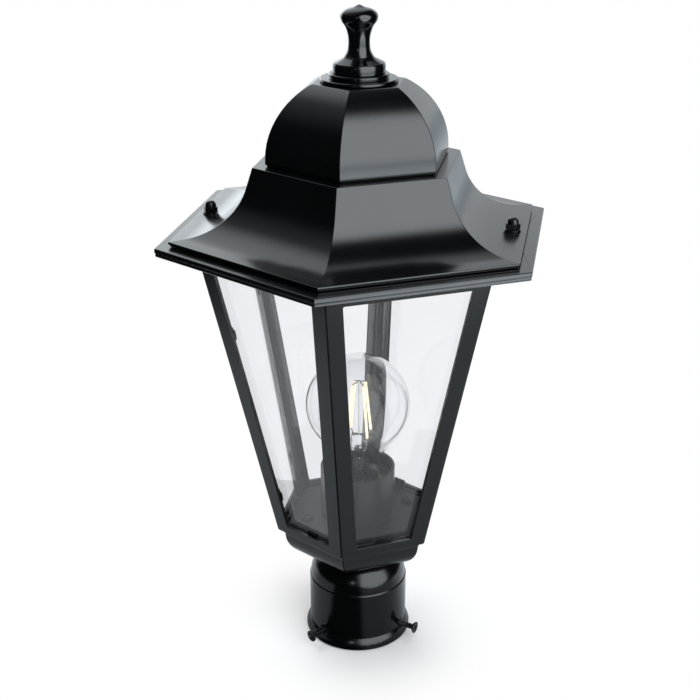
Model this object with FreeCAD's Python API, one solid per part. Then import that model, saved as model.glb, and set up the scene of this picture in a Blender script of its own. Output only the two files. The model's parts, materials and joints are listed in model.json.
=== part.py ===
import FreeCAD, Part
import math
import os

# Post top lantern. Millimetres, +Z up. The origin is on the lantern's axis, in
# the plane of the post fitting's mouth. Two of the six corners lie on the Y axis,
# and the two faces that carry the roof's cap nuts look along -X and +X.
# A hexagon is given by its apothem: the distance from the axis to a flat side.

# ---- general ----
sides = 6
side_angle = 360.0 / sides
casting_wall = 2.5            # wall of the roof, bowl and ring castings
seat_gap = 0.3                # daylight between pieces that move apart
slip_gap = 0.15               # easy clearance round a fixed piece in its pocket
thread_gap = 0.05             # radial clearance of a screw in its thread

# ---- post fitting ----
post_bore_radius = 27.5
fitting_wall = 2.5
fitting_height = 38.0         # mouth to the foot of the rounded shoulder
fitting_lip_flare = 2.3       # how far the lip stands out at the mouth
fitting_lip_height = 6.3
fitting_rim_chamfer = 0.6
shoulder_radius = 20.3        # round of the shoulder, seen from the side
neck_radius = 12.0
neck_height = 2.1
stop_rib_width = 2.6          # ribs that the post's top comes up against
stop_rib_count = 6
stop_rib_depth = 3.0          # how far a rib stands in from the bore
stop_rib_height = 4.0

# ---- clamp screws ----
clamp_screw_angles = (-124.0, -18.5, 108.8)   # counted from +X towards +Y
clamp_screw_height = 8.6      # above the mouth
clamp_screw_radius = 1.75
clamp_head_radius = 3.6
clamp_head_cone = 2.1
clamp_head_rim = 0.5
clamp_screw_reach = 10.9      # head's face to the fitting's outer wall
clamp_countersink = 1.2       # radial size of the countersink round the hole
cross_recess_width = 0.9
cross_recess_depth = 1.3

# ---- hollow nipple and its nuts ----
nipple_radius = 5.0
nipple_bore_radius = 3.6
nipple_overhang = 1.7         # thread that stands out past each nut
nipple_nut_flats = 14.0
nipple_nut_height = 3.0

# ---- bowl ----
bowl_floor_apothem = 33.7
bowl_side_apothem = 40.45
bowl_side_height = 13.1
bowl_side_radius = 16.1
bowl_mouth_apothem = 42.2
bowl_mouth_height = 4.1
bowl_flange_width = 5.6
pillar_radius = 4.0
pillar_circle_radius = 31.5
pillar_first_angle = 30.0
earth_boss_radius = 4.2
earth_boss_height = 5.0
earth_boss_circle_radius = 25.0
earth_boss_angle = 300.0

# ---- side frames and panes ----
frame_bottom_apothem = 44.4
frame_top_apothem = 80.1
frame_height = 180.0
frame_face = 2.2              # thickness of the front flange round the window
frame_depth = 6.4
stile_width = 9.4
bottom_rail = 5.4
top_rail = 10.1
window_corner_radius = 1.0
mitre_gap = 0.3               # seam between two side frames
mitre_chamfer = 0.5
foot_length = 3.5             # tongue behind the rail, clamped under the floor plate
foot_thickness = 2.8
glass_thickness = 3.0
glass_lap = 3.5               # glass behind the flange at the stiles
glass_bottom_lap = 2.4
glass_top_lap = 6.0
clip_length = 6.0
clip_thickness = 0.8
clip_lap = 3.2                # clip over the glass
clip_seat = 1.1               # clip on the frame's back edge
clip_nib_width = 1.5
clip_heights = (21.0, 128.0)  # above the frame's foot

# ---- eave ring ----
ring_apothem = 99.6
ring_thickness = 4.7
ring_plate = 2.6
ring_step = 0.35              # lower half of the rim stands back by this much
ring_chamfer = 0.4
ring_skirt_drop = 7.0         # inner skirt that centres the ring in the frames
ring_skirt_wall = 2.0
ring_screw_radius = 1.5
ring_screw_length = 8.4
ring_screw_head_radius = 2.9
ring_screw_spread = 18.0      # each side of a face's middle

# ---- floor plate ----
floor_thickness = 1.5
floor_edge_gap = 0.4
ear_width = 8.0
ear_height = 5.0
well_radius = 15.5
well_depth = 11.9
well_wire_hole = 5.0
floor_screw_radius = 2.0
floor_screw_length = 10.0
pan_head_radius = 3.7
pan_head_height = 2.4

# ---- lampholder ----
sleeve_radius = 21.6
sleeve_wall = 1.6
sleeve_height = 32.1
sleeve_rim_chamfer = 0.9
socket_gap = 0.4              # between holder body and sleeve
socket_height = 25.0          # above the floor plate
socket_floor = 7.5            # thickness of the holder's base
shell_wall = 0.4
shell_height = 22.0
contact_width = 5.0
contact_length = 16.0
contact_thickness = 0.5
contact_rise = 1.7
socket_screw_radius = 1.5
socket_screw_spread = 8.4
socket_screw_head_radius = 2.6
socket_screw_head_height = 1.6
socket_screw_reach = 2.3      # past the underside of the well's floor

# ---- terminal block ----
terminal_width = 24.0
terminal_depth = 8.6
terminal_height = 11.0
terminal_circle_radius = 24.0
terminal_angle = 120.0
terminal_poles = 3
terminal_screw_radius = 1.7
terminal_wire_radius = 1.5
terminal_slot = 0.7

# ---- lamp ----
lamp_length = 105.0
lamp_radius = 30.0
lamp_taper_angle = 35.0       # where the globe turns into the straight taper
lamp_neck_radius = 14.3
lamp_neck_height = 9.0        # straight neck, from the cap's top
lamp_shoulder_height = 2.5
lamp_taper_fullness = 0.42
lamp_glass_in_cap = 6.0
lamp_glass_wall = 0.8
cap_radius = 13.1
cap_wall = 0.6
cap_height = 22.0
cap_rise = 5.0                # bottom contact to the cap's metal
insulator_in_cap = 2.0
lamp_contact_radius = 4.7
lamp_contact_height = 1.1
stem_foot_radius = 8.5
stem_tube_radius = 3.0
stem_foot_height = 14.0
stem_pinch_height = 10.0
stem_rod_radius = 0.7
stem_tip_height = 2.0         # rod above the filaments' tops
stem_hub_height = 1.6         # where the upper wires meet the rod
stem_pinch_gap = 1.0          # below the filaments' feet
filament_count = 4
filament_radius = 0.8
filament_length = 32.0
filament_top_circle = 4.6
filament_bottom_circle = 8.6
filament_top_below_crown = 17.5
wire_radius = 0.35

# ---- roof ----
lip_apothem = 93.0
lip_height = 2.5
lip_step = 0.8                # lower half of the lip stands back by this much
lip_slope = 3.5               # degrees
skirt_rise = 36.3             # lip to the ledge
skirt_rim_apothem = 52.1
skirt_rim_draft = 16.5        # degrees from upright, under the ledge
skirt_round = 34.5            # concave round between the two straights
skirt_edge_chamfer = 0.4
throat_apothem = 38.0
cupola_apothem = 45.9
cupola_height = 42.1
cupola_band = 3.1             # upright stretch at the foot of the cupola
cupola_radius = 44.7
cupola_groove_height = 0.9
cupola_groove_depth = 0.8
cupola_flange = 2.5
cupola_spigot_drop = 2.0
cupola_spigot_wall = 2.3
roof_screw_radius = 2.0
roof_screw_circle_radius = 85.4
roof_screw_above_pad = 5.2
roof_screw_hole_gap = 0.4
pad_radius = 4.6
pad_rise = 0.15
washer_radius = 4.3
washer_thickness = 0.6
cap_nut_flats = 7.0
cap_nut_hex_height = 2.9
cap_nut_height = 6.4
cap_nut_dome_radius = 3.1
cap_nut_crown_radius = 3.3

# ---- finial ----
collar_radius = 21.1
collar_step_radius = 16.3
collar_height = 2.1
collar_step_height = 2.5
collar_groove = 0.4
finial_base_radius = 14.2
finial_height = 35.1
finial_knob_radius = 10.1
finial_waist_radius = 5.8
finial_tip_radius = 2.4
rod_radius = 3.0
rod_reach = 8.0               # into the finial
rod_hole_gap = 0.2
bar_width = 16.0
bar_thickness = 3.0
bar_seat = 8.0                # bar under the ledge at each end
rod_washer_radius = 7.0
rod_washer_thickness = 1.0
rod_nut_flats = 10.0
rod_nut_height = 5.0
rod_overhang = 2.4

# ---- levels that follow from the sizes ----
fitting_radius = post_bore_radius + fitting_wall
bowl_bottom_z = fitting_height + shoulder_radius + neck_height
bowl_floor_z = bowl_bottom_z + casting_wall
bowl_side_z = bowl_bottom_z + bowl_side_height
frame_bottom_z = bowl_side_z + bowl_mouth_height
frame_top_z = frame_bottom_z + frame_height
floor_under_z = frame_bottom_z + foot_thickness
floor_z = floor_under_z + floor_thickness
well_floor_z = floor_z - well_depth
socket_floor_z = well_floor_z + socket_floor
lamp_bottom_z = socket_floor_z + contact_rise + seat_gap
lamp_crown_z = lamp_bottom_z + lamp_length
lamp_centre_z = lamp_crown_z - lamp_radius
cap_bottom_z = lamp_bottom_z + cap_rise
cap_top_z = cap_bottom_z + cap_height
ring_top_z = frame_top_z + ring_thickness
roof_bottom_z = ring_top_z + seat_gap
lip_top_z = roof_bottom_z + lip_height
ledge_z = lip_top_z + skirt_rise
cupola_top_z = ledge_z + cupola_height
finial_base_z = cupola_top_z + collar_height + collar_step_height
finial_tip_z = finial_base_z + finial_height
bar_top_z = ledge_z - casting_wall

frame_tilt = math.atan((frame_top_apothem - frame_bottom_apothem) / frame_height)
across_tilt = 1.0 / math.cos(frame_tilt)      # level distance per unit of depth
half_side = math.tan(math.radians(side_angle / 2.0))
socket_radius = sleeve_radius - sleeve_wall - socket_gap
shell_radius = cap_radius + seat_gap + shell_wall
far = 2.0 * ring_apothem                      # longer than any cut needs


# ---- helpers ----
def point(across, height, along=0.0):
    return FreeCAD.Vector(across, along, height)


def turned(shape, degrees):
    copy = shape.copy()
    copy.rotate(FreeCAD.Vector(0, 0, 0), FreeCAD.Vector(0, 0, 1), degrees)
    return copy


def fused(shapes):
    body = shapes[0]
    if len(shapes) > 1:
        body = shapes[0].fuse(shapes[1:])
    return body.removeSplitter()


def box(x_low, x_high, y_low, y_high, z_low, z_high):
    corner = FreeCAD.Vector(x_low, y_low, z_low)
    return Part.makeBox(x_high - x_low, y_high - y_low, z_high - z_low, corner)


def disc(radius, z_low, z_high, x=0.0, y=0.0):
    return Part.makeCylinder(radius, z_high - z_low, FreeCAD.Vector(x, y, z_low))


def nut_prism(flats, z_low, z_high, x=0.0, y=0.0):
    corner_radius = flats / 2.0 / math.cos(math.pi / 6.0)
    corners = []
    for index in range(7):
        angle = math.radians(60.0 * index)
        corners.append(FreeCAD.Vector(x + corner_radius * math.cos(angle),
                                      y + corner_radius * math.sin(angle), z_low))
    face = Part.Face(Part.makePolygon(corners))
    return face.extrude(FreeCAD.Vector(0, 0, z_high - z_low))


def polygon_face(points):
    return Part.Face(Part.makePolygon(points + [points[0]]))


def line(start, end):
    return Part.LineSegment(start, end).toShape()


def arc(start, middle, end):
    return Part.Arc(start, middle, end).toShape()


def centre_arc(centre, radius, from_degrees, to_degrees):
    # arc in the X-Z plane, angles counted from +X towards +Z
    points = []
    for degrees in (from_degrees, (from_degrees + to_degrees) / 2.0, to_degrees):
        angle = math.radians(degrees)
        points.append(centre + FreeCAD.Vector(radius * math.cos(angle), 0, radius * math.sin(angle)))
    return arc(points[0], points[1], points[2])


def round_corner(start, corner, end, radius):
    # straight, tangent arc and straight from start round a corner to end
    into = (start - corner).normalize()
    out = (end - corner).normalize()
    half_angle = into.getAngle(out) / 2.0
    cut_back = radius / math.tan(half_angle)
    tangent_in = corner + into * cut_back
    tangent_out = corner + out * cut_back
    bisector = (into + out).normalize()
    centre = corner + bisector * (radius / math.sin(half_angle))
    middle = centre - bisector * radius
    return [line(start, tangent_in), arc(tangent_in, middle, tangent_out), line(tangent_out, end)]


def crossing(point_a, direction_a, point_b, direction_b):
    # where two lines in the X-Z plane cross
    across = direction_a.x * direction_b.z - direction_a.z * direction_b.x
    offset = point_b - point_a
    distance = (offset.x * direction_b.z - offset.z * direction_b.x) / across
    return point_a + direction_a * distance


def spun(face):
    return face.revolve(FreeCAD.Vector(0, 0, 0), FreeCAD.Vector(0, 0, 1), 360)


def sector(gap=0.0):
    # one sixth of the plan, cut back by half a gap at each mitre
    half = math.radians(side_angle / 2.0)
    apex = gap / 2.0 / math.sin(half)
    reach = far * math.tan(half)
    plan = [FreeCAD.Vector(apex, 0, -far),
            FreeCAD.Vector(apex + far, reach, -far),
            FreeCAD.Vector(apex + far, -reach, -far)]
    return polygon_face(plan).extrude(FreeCAD.Vector(0, 0, 3 * far))


def along_side(section):
    # a section in the X-Z plane carried along one side of the hexagon
    start = section.copy()
    start.translate(FreeCAD.Vector(0, -far, 0))
    return start.extrude(FreeCAD.Vector(0, 2 * far, 0))


def six_sided(section):
    wedge = along_side(section).common(sector())
    wedges = []
    for index in range(sides):
        wedges.append(turned(wedge, side_angle * index))
    return fused(wedges)


def frame_apothem(z):
    slope = (frame_top_apothem - frame_bottom_apothem) / frame_height
    return frame_bottom_apothem + slope * (z - frame_bottom_z)


def cross_recess(radius, z_top):
    reach = radius * 0.62
    half = cross_recess_width / 2.0
    low = z_top - cross_recess_depth
    one = box(-reach, reach, -half, half, low, z_top)
    two = box(-half, half, -reach, reach, low, z_top)
    return one.fuse(two)


def pan_head_screw(shank_radius, length, head_radius, head_height):
    # seat of the head at z = 0, shank downwards
    crown = head_height * 0.5
    outline = [point(0, 0), point(head_radius, 0), point(head_radius, head_height - crown),
               point(head_radius - crown, head_height), point(0, head_height)]
    head = spun(polygon_face(outline))
    screw = head.fuse(disc(shank_radius, -length, 0))
    return screw.cut(cross_recess(head_radius, head_height)).removeSplitter()


def placed(shape, x, y, z):
    copy = shape.copy()
    copy.translate(FreeCAD.Vector(x, y, z))
    return copy


def polar(distance, degrees):
    angle = math.radians(degrees)
    return distance * math.cos(angle), distance * math.sin(angle)


# ---- post fitting ----
def fitting():
    lip_radius = fitting_radius + fitting_lip_flare
    lip_top_radius = fitting_radius + 0.35 * fitting_lip_flare
    lip_band = 0.4 * fitting_lip_height
    lip_edge = 0.3 * fitting_lip_flare
    throat_round = 0.35 * fitting_lip_flare
    shoulder_foot = fitting_radius - fitting_rim_chamfer
    shoulder_centre = point(shoulder_foot - shoulder_radius, fitting_height)
    shoulder_angle = math.degrees(math.acos((neck_radius - shoulder_centre.x) / shoulder_radius))
    shoulder_end = fitting_height + shoulder_radius * math.sin(math.radians(shoulder_angle))
    ceiling_z = fitting_height + shoulder_radius - casting_wall
    inner_round = shoulder_radius - casting_wall
    hole = nipple_radius + slip_gap
    flat_edge = shoulder_centre.x
    edges = [
        line(point(post_bore_radius, 0), point(lip_radius - lip_edge, 0)),
        line(point(lip_radius - lip_edge, 0), point(lip_radius, lip_edge)),
        line(point(lip_radius, lip_edge), point(lip_radius, lip_band)),
        line(point(lip_radius, lip_band), point(lip_top_radius, fitting_lip_height)),
        line(point(lip_top_radius, fitting_lip_height),
             point(fitting_radius, fitting_lip_height + throat_round)),
        line(point(fitting_radius, fitting_lip_height + throat_round),
             point(fitting_radius, fitting_height - fitting_rim_chamfer)),
        line(point(fitting_radius, fitting_height - fitting_rim_chamfer),
             point(shoulder_foot, fitting_height)),
        centre_arc(shoulder_centre, shoulder_radius, 0, shoulder_angle),
        line(point(neck_radius, shoulder_end), point(neck_radius, bowl_bottom_z)),
        line(point(neck_radius, bowl_bottom_z), point(hole, bowl_bottom_z)),
        line(point(hole, bowl_bottom_z), point(hole, ceiling_z)),
        line(point(hole, ceiling_z), point(flat_edge, ceiling_z)),
        centre_arc(shoulder_centre, inner_round, 90, 0),
        line(point(flat_edge + inner_round, fitting_height), point(post_bore_radius, fitting_height)),
        line(point(post_bore_radius, fitting_height), point(post_bore_radius, 0)),
    ]
    body = spun(Part.Face(Part.Wire(edges)))
    rib_inner = post_bore_radius - stop_rib_depth
    rib = box(rib_inner, post_bore_radius + fitting_wall / 2.0, -stop_rib_width / 2.0,
              stop_rib_width / 2.0, fitting_height, fitting_height + stop_rib_height)
    for index in range(stop_rib_count):
        body = body.fuse(turned(rib, (index + 0.5) * 360.0 / stop_rib_count))
    hole_radius = clamp_screw_radius + thread_gap
    outer_cone = hole_radius + clamp_countersink + 1.0
    for degrees in clamp_screw_angles:
        drill = Part.makeCylinder(hole_radius, far, point(0, clamp_screw_height),
                                  FreeCAD.Vector(1, 0, 0))
        sink = Part.makeCone(hole_radius, outer_cone, clamp_countersink + 1.0,
                             point(fitting_radius - clamp_countersink, clamp_screw_height),
                             FreeCAD.Vector(1, 0, 0))
        body = body.cut(turned(drill.fuse(sink), degrees))
    return body.removeSplitter()


def clamp_screw(degrees):
    tip = post_bore_radius + seat_gap
    face = fitting_radius + clamp_screw_reach
    length = face - tip
    outline = [point(0, 0), point(clamp_screw_radius * 0.7, 0),
               point(clamp_screw_radius, clamp_screw_radius * 0.3),
               point(clamp_screw_radius, length - clamp_head_cone - clamp_head_rim),
               point(clamp_head_radius, length - clamp_head_rim),
               point(clamp_head_radius, length), point(0, length)]
    screw = spun(polygon_face(outline)).cut(cross_recess(clamp_head_radius, length))
    screw.rotate(FreeCAD.Vector(0, 0, 0), FreeCAD.Vector(0, 1, 0), 90)
    screw.translate(FreeCAD.Vector(tip, 0, clamp_screw_height))
    return turned(screw, degrees)


def nipple():
    low = fitting_height + shoulder_radius - casting_wall - nipple_nut_height - nipple_overhang
    high = bowl_floor_z + nipple_nut_height + nipple_overhang
    return disc(nipple_radius, low, high).cut(disc(nipple_bore_radius, low, high))


def nipple_nuts():
    hole_radius = nipple_radius + thread_gap
    lower_top = fitting_height + shoulder_radius - casting_wall
    nuts = []
    for low in (lower_top - nipple_nut_height, bowl_floor_z):
        high = low + nipple_nut_height
        nuts.append(nut_prism(nipple_nut_flats, low, high).cut(disc(hole_radius, low, high)))
    return Part.makeCompound(nuts)


# ---- bowl ----
def pillar_places():
    return [polar(pillar_circle_radius, pillar_first_angle + 180.0 * index) for index in range(2)]


def bowl():
    centre = point(bowl_side_apothem - bowl_side_radius, bowl_side_z)
    inner_round = bowl_side_radius - casting_wall
    floor_edge = bowl_floor_apothem
    foot_angle = math.degrees(math.asin(bowl_side_height / bowl_side_radius))
    inner_angle = math.degrees(math.asin((bowl_side_z - bowl_floor_z) / inner_round))
    arc_foot = centre.x + bowl_side_radius * math.cos(math.radians(foot_angle))
    inner_foot = centre.x + inner_round * math.cos(math.radians(inner_angle))
    inner_side = bowl_side_apothem - casting_wall
    flange_under = frame_bottom_z - casting_wall
    flange_inner = bowl_mouth_apothem - bowl_flange_width
    edges = [
        line(point(0, bowl_bottom_z), point(arc_foot, bowl_bottom_z)),
        centre_arc(centre, bowl_side_radius, -foot_angle, 0),
        line(point(bowl_side_apothem, bowl_side_z), point(bowl_mouth_apothem, frame_bottom_z)),
        line(point(bowl_mouth_apothem, frame_bottom_z), point(flange_inner, frame_bottom_z)),
        line(point(flange_inner, frame_bottom_z), point(flange_inner, flange_under)),
        line(point(flange_inner, flange_under), point(inner_side, flange_under)),
        line(point(inner_side, flange_under), point(inner_side, bowl_side_z)),
        centre_arc(centre, inner_round, 0, -inner_angle),
        line(point(inner_foot, bowl_floor_z), point(0, bowl_floor_z)),
        line(point(0, bowl_floor_z), point(0, bowl_bottom_z)),
    ]
    body = six_sided(Part.Face(Part.Wire(edges)))
    additions = []
    cuts = [disc(nipple_radius + slip_gap, bowl_bottom_z, bowl_floor_z)]
    for x, y in pillar_places():
        additions.append(disc(pillar_radius, bowl_bottom_z + casting_wall / 2.0, floor_under_z, x, y))
        low = floor_z - floor_screw_length
        cuts.append(disc(floor_screw_radius + thread_gap, low - slip_gap, floor_z, x, y))
    x, y = polar(earth_boss_circle_radius, earth_boss_angle)
    boss_top = bowl_floor_z + earth_boss_height
    additions.append(disc(earth_boss_radius, bowl_bottom_z + casting_wall / 2.0, boss_top, x, y))
    cuts.append(disc(floor_screw_radius + thread_gap, bowl_floor_z, boss_top, x, y))
    body = body.fuse(additions)
    return body.cut(cuts).removeSplitter()


def earth_screw():
    x, y = polar(earth_boss_circle_radius, earth_boss_angle)
    seat = bowl_floor_z + earth_boss_height
    screw = pan_head_screw(floor_screw_radius, earth_boss_height - slip_gap, pan_head_radius,
                           pan_head_height)
    return placed(screw, x, y, seat)


# ---- side frames ----
def window_prism(side_lap, bottom_lap, top_lap, rounding):
    # the window, or the glass pocket behind it, as a prism along X
    low = frame_bottom_z + bottom_rail - bottom_lap
    high = frame_top_z - top_rail + top_lap
    half_low = frame_apothem(low) * half_side - stile_width + side_lap
    half_high = frame_apothem(high) * half_side - stile_width + side_lap
    outline = [point(0, low, -half_low), point(0, low, half_low),
               point(0, high, half_high), point(0, high, -half_high)]
    prism = polygon_face(outline).extrude(FreeCAD.Vector(far, 0, 0))
    if rounding > 0:
        long_edges = [edge for edge in prism.Edges if edge.Length > far * 0.9]
        prism = prism.makeFillet(rounding, long_edges)
    return prism


def leaning_slab(depth_from, depth_to, z_low, z_high):
    # everything between two depths behind the leaning outer face
    front = depth_from * across_tilt
    back = depth_to * across_tilt
    outline = [point(frame_apothem(z_low) - front, z_low),
               point(frame_apothem(z_high) - front, z_high),
               point(frame_apothem(z_high) - back, z_high),
               point(frame_apothem(z_low) - back, z_low)]
    return along_side(polygon_face(outline))


def ring_screw_distance():
    return (frame_apothem(frame_top_z) - frame_depth * across_tilt / 2.0)


def side_frame():
    slab = leaning_slab(0, frame_depth, frame_bottom_z, frame_top_z)
    foot_back = frame_bottom_apothem - frame_depth * across_tilt - foot_length
    foot = box(foot_back, frame_bottom_apothem - frame_face, -far, far, frame_bottom_z, floor_under_z)
    pocket = window_prism(glass_lap, glass_bottom_lap, glass_top_lap, 0)
    pocket = pocket.common(leaning_slab(frame_face, frame_depth * 2.0, frame_bottom_z, frame_top_z))
    window = window_prism(0, 0, 0, window_corner_radius)
    body = slab.fuse(foot).common(sector(mitre_gap)).cut([window, pocket])
    corner_edges = []
    for edge in body.Edges:
        ends = [vertex.Point for vertex in edge.Vertexes]
        if len(ends) == 2 and abs(ends[0].z - ends[1].z) > frame_height * 0.99:
            if min(end.x - frame_apothem(end.z) for end in ends) > -0.01:
                corner_edges.append(edge)
    body = body.makeChamfer(mitre_chamfer, corner_edges)
    x = ring_screw_distance()
    low = ring_top_z - ring_screw_length - slip_gap
    for y in (-ring_screw_spread, ring_screw_spread):
        body = body.cut(disc(ring_screw_radius + thread_gap, low, ring_top_z, x, y))
    return body.removeSplitter()


def pane():
    front = frame_face + slip_gap
    slab = leaning_slab(front, front + glass_thickness, frame_bottom_z, frame_top_z)
    edge_gap = seat_gap
    outline = window_prism(glass_lap - edge_gap, glass_bottom_lap - slip_gap,
                           glass_top_lap - edge_gap, 0)
    return slab.common(outline)


def clip(height, hand):
    # seen from inside: a flat spring on the frame's back edge, with a nib on the glass
    z = frame_bottom_z + height
    half_face = frame_apothem(z) * half_side
    glass_edge = half_face - stile_width + glass_lap
    outer = glass_edge + clip_seat
    inner = glass_edge - clip_lap
    glass_back = frame_face + slip_gap + glass_thickness
    plate = leaning_slab(frame_depth, frame_depth + clip_thickness, z, z + clip_length)
    plate = plate.common(box(0, far, inner, outer, z, z + clip_length))
    nib = leaning_slab(glass_back + thread_gap, frame_depth, z, z + clip_length)
    nib = nib.common(box(0, far, inner, inner + clip_nib_width, z, z + clip_length))
    piece = plate.fuse(nib).removeSplitter()
    if hand < 0:
        piece = piece.mirror(FreeCAD.Vector(0, 0, 0), FreeCAD.Vector(0, 1, 0))
    return piece


def pane_clips():
    clips = []
    for index in range(sides):
        for height in clip_heights:
            for hand in (-1, 1):
                clips.append(turned(clip(height, hand), side_angle * index))
    return Part.makeCompound(clips)


# ---- eave ring ----
def glass_back_apothem(z):
    return frame_apothem(z) - (frame_face + slip_gap + glass_thickness) * across_tilt


def eave_ring():
    under_plate = ring_top_z - ring_plate
    middle = (ring_top_z + frame_top_z) / 2.0
    land = frame_top_apothem + seat_gap
    skirt_low = frame_top_z - ring_skirt_drop
    skirt_out = frame_apothem(skirt_low) - frame_depth * across_tilt - slip_gap
    skirt_in = skirt_out - ring_skirt_wall
    rim_in = ring_apothem - casting_wall
    lower_face = ring_apothem - ring_step
    outline = [
        point(skirt_in, ring_top_z), point(ring_apothem - ring_chamfer, ring_top_z),
        point(ring_apothem, ring_top_z - ring_chamfer), point(ring_apothem, middle),
        point(lower_face, middle - ring_step), point(lower_face, frame_top_z + ring_chamfer),
        point(lower_face - ring_chamfer, frame_top_z), point(rim_in, frame_top_z),
        point(rim_in, under_plate), point(land, under_plate), point(land, frame_top_z),
        point(skirt_out, frame_top_z), point(skirt_out, skirt_low), point(skirt_in, skirt_low),
    ]
    body = six_sided(polygon_face(outline))
    cuts = []
    bosses = []
    for hand in (-1, 1):
        x = hand * roof_screw_circle_radius
        bosses.append(disc(pad_radius, frame_top_z, under_plate + thread_gap, x, 0))
        cuts.append(disc(roof_screw_radius + slip_gap, frame_top_z, ring_top_z, x, 0))
    body = body.fuse(bosses)
    sink_depth = ring_screw_head_radius - ring_screw_radius
    for x, y in ring_screw_places():
        cuts.append(disc(ring_screw_radius + slip_gap, frame_top_z, ring_top_z, x, y))
        cuts.append(Part.makeCone(ring_screw_radius + slip_gap, ring_screw_head_radius + slip_gap,
                                  sink_depth, FreeCAD.Vector(x, y, ring_top_z - sink_depth)))
    return body.cut(cuts).removeSplitter()


def ring_screw_places():
    places = []
    for index in range(sides):
        for y in (-ring_screw_spread, ring_screw_spread):
            distance = math.hypot(ring_screw_distance(), y)
            angle = math.degrees(math.atan2(y, ring_screw_distance())) + side_angle * index
            places.append(polar(distance, angle))
    return places


def ring_screws():
    sink_depth = ring_screw_head_radius - ring_screw_radius
    outline = [point(0, -ring_screw_length), point(ring_screw_radius, -ring_screw_length),
               point(ring_screw_radius, -sink_depth), point(ring_screw_head_radius, 0), point(0, 0)]
    screw = spun(polygon_face(outline))
    return Part.makeCompound([placed(screw, x, y, ring_top_z) for x, y in ring_screw_places()])


# ---- floor plate ----
def floor_plate():
    ear_face = glass_back_apothem(floor_z) - seat_gap
    edge = frame_bottom_apothem - frame_depth * across_tilt - floor_edge_gap
    plate_outline = [point(0, floor_under_z), point(edge, floor_under_z),
                     point(edge, floor_z), point(0, floor_z)]
    body = six_sided(polygon_face(plate_outline))
    ear_top = floor_z + ear_height
    lean_top = glass_back_apothem(ear_top) - seat_gap
    ear_outline = [point(edge - floor_thickness, floor_under_z), point(edge, floor_under_z),
                   point(ear_face, floor_z), point(lean_top, ear_top),
                   point(lean_top - floor_thickness, ear_top),
                   point(ear_face - floor_thickness, floor_z)]
    ear = polygon_face(ear_outline)
    ear.translate(FreeCAD.Vector(0, -ear_width / 2.0, 0))
    ear = ear.extrude(FreeCAD.Vector(0, ear_width, 0))
    shapes = [turned(ear, side_angle * index) for index in range(sides)]
    well_out = well_radius + floor_thickness
    shapes.append(disc(well_out, well_floor_z - floor_thickness, floor_z))
    body = body.fuse(shapes)
    cuts = [disc(well_radius, well_floor_z, floor_z),
            disc(well_wire_hole, well_floor_z - floor_thickness, floor_z)]
    for x, y in pillar_places():
        cuts.append(disc(floor_screw_radius + slip_gap, floor_under_z, floor_z, x, y))
    for x in (-socket_screw_spread, socket_screw_spread):
        cuts.append(disc(socket_screw_radius + thread_gap, well_floor_z - floor_thickness, floor_z, x, 0))
    return body.cut(cuts).removeSplitter()


def floor_screws():
    screw = pan_head_screw(floor_screw_radius, floor_screw_length, pan_head_radius, pan_head_height)
    return Part.makeCompound([placed(screw, x, y, floor_z) for x, y in pillar_places()])


# ---- lampholder ----
def holder_sleeve():
    top = floor_z + sleeve_height
    inner = sleeve_radius - sleeve_wall
    outline = [point(inner, floor_z), point(sleeve_radius, floor_z),
               point(sleeve_radius, top - sleeve_rim_chamfer / 3.0),
               point(sleeve_radius - sleeve_rim_chamfer / 3.0, top),
               point(inner + sleeve_rim_chamfer, top), point(inner, top - sleeve_rim_chamfer)]
    return spun(polygon_face(outline))


def lamp_socket():
    top = floor_z + socket_height
    cavity = shell_radius + slip_gap
    base = well_radius - slip_gap
    lead_in = 1.0
    outline = [point(0, well_floor_z), point(base, well_floor_z), point(base, floor_z),
               point(socket_radius, floor_z), point(socket_radius, top - lead_in),
               point(socket_radius - lead_in, top), point(cavity + lead_in, top),
               point(cavity, top - lead_in), point(cavity, socket_floor_z), point(0, socket_floor_z)]
    body = spun(polygon_face(outline))
    cuts = [disc(well_wire_hole - 1.0, well_floor_z, socket_floor_z - contact_rise * 2.0)]
    for x in (-socket_screw_spread, socket_screw_spread):
        cuts.append(disc(socket_screw_radius + thread_gap, well_floor_z, socket_floor_z, x, 0))
    return body.cut(cuts).removeSplitter()


def socket_shell():
    inner = cap_radius + seat_gap
    top = floor_z + socket_height - slip_gap
    foot = top - shell_height
    outline = [point(inner, foot), point(shell_radius, foot), point(shell_radius, top), point(inner, top)]
    return spun(polygon_face(outline))


def socket_contact():
    # a flat spring, screwed down at one end of its foot and arched up to the lamp
    half_width = contact_width / 2.0
    crest = socket_floor_z + contact_rise
    reach = contact_length / 2.0
    outline = [point(-reach, socket_floor_z), point(-reach * 0.45, socket_floor_z),
               point(-reach * 0.2, crest - contact_thickness),
               point(reach * 0.5, crest - contact_thickness),
               point(reach * 0.5, crest), point(-reach * 0.3, crest),
               point(-reach * 0.55, socket_floor_z + contact_thickness),
               point(-reach, socket_floor_z + contact_thickness)]
    face = polygon_face(outline)
    face.translate(FreeCAD.Vector(0, -half_width, 0))
    return turned(face.extrude(FreeCAD.Vector(0, contact_width, 0)), 90)


def socket_screws():
    length = socket_floor_z - well_floor_z + floor_thickness + socket_screw_reach
    screw = pan_head_screw(socket_screw_radius, length, socket_screw_head_radius, socket_screw_head_height)
    return Part.makeCompound([placed(screw, x, 0, socket_floor_z)
                              for x in (-socket_screw_spread, socket_screw_spread)])


# ---- terminal block ----
def terminal_pitch():
    return terminal_width / terminal_poles


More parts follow.
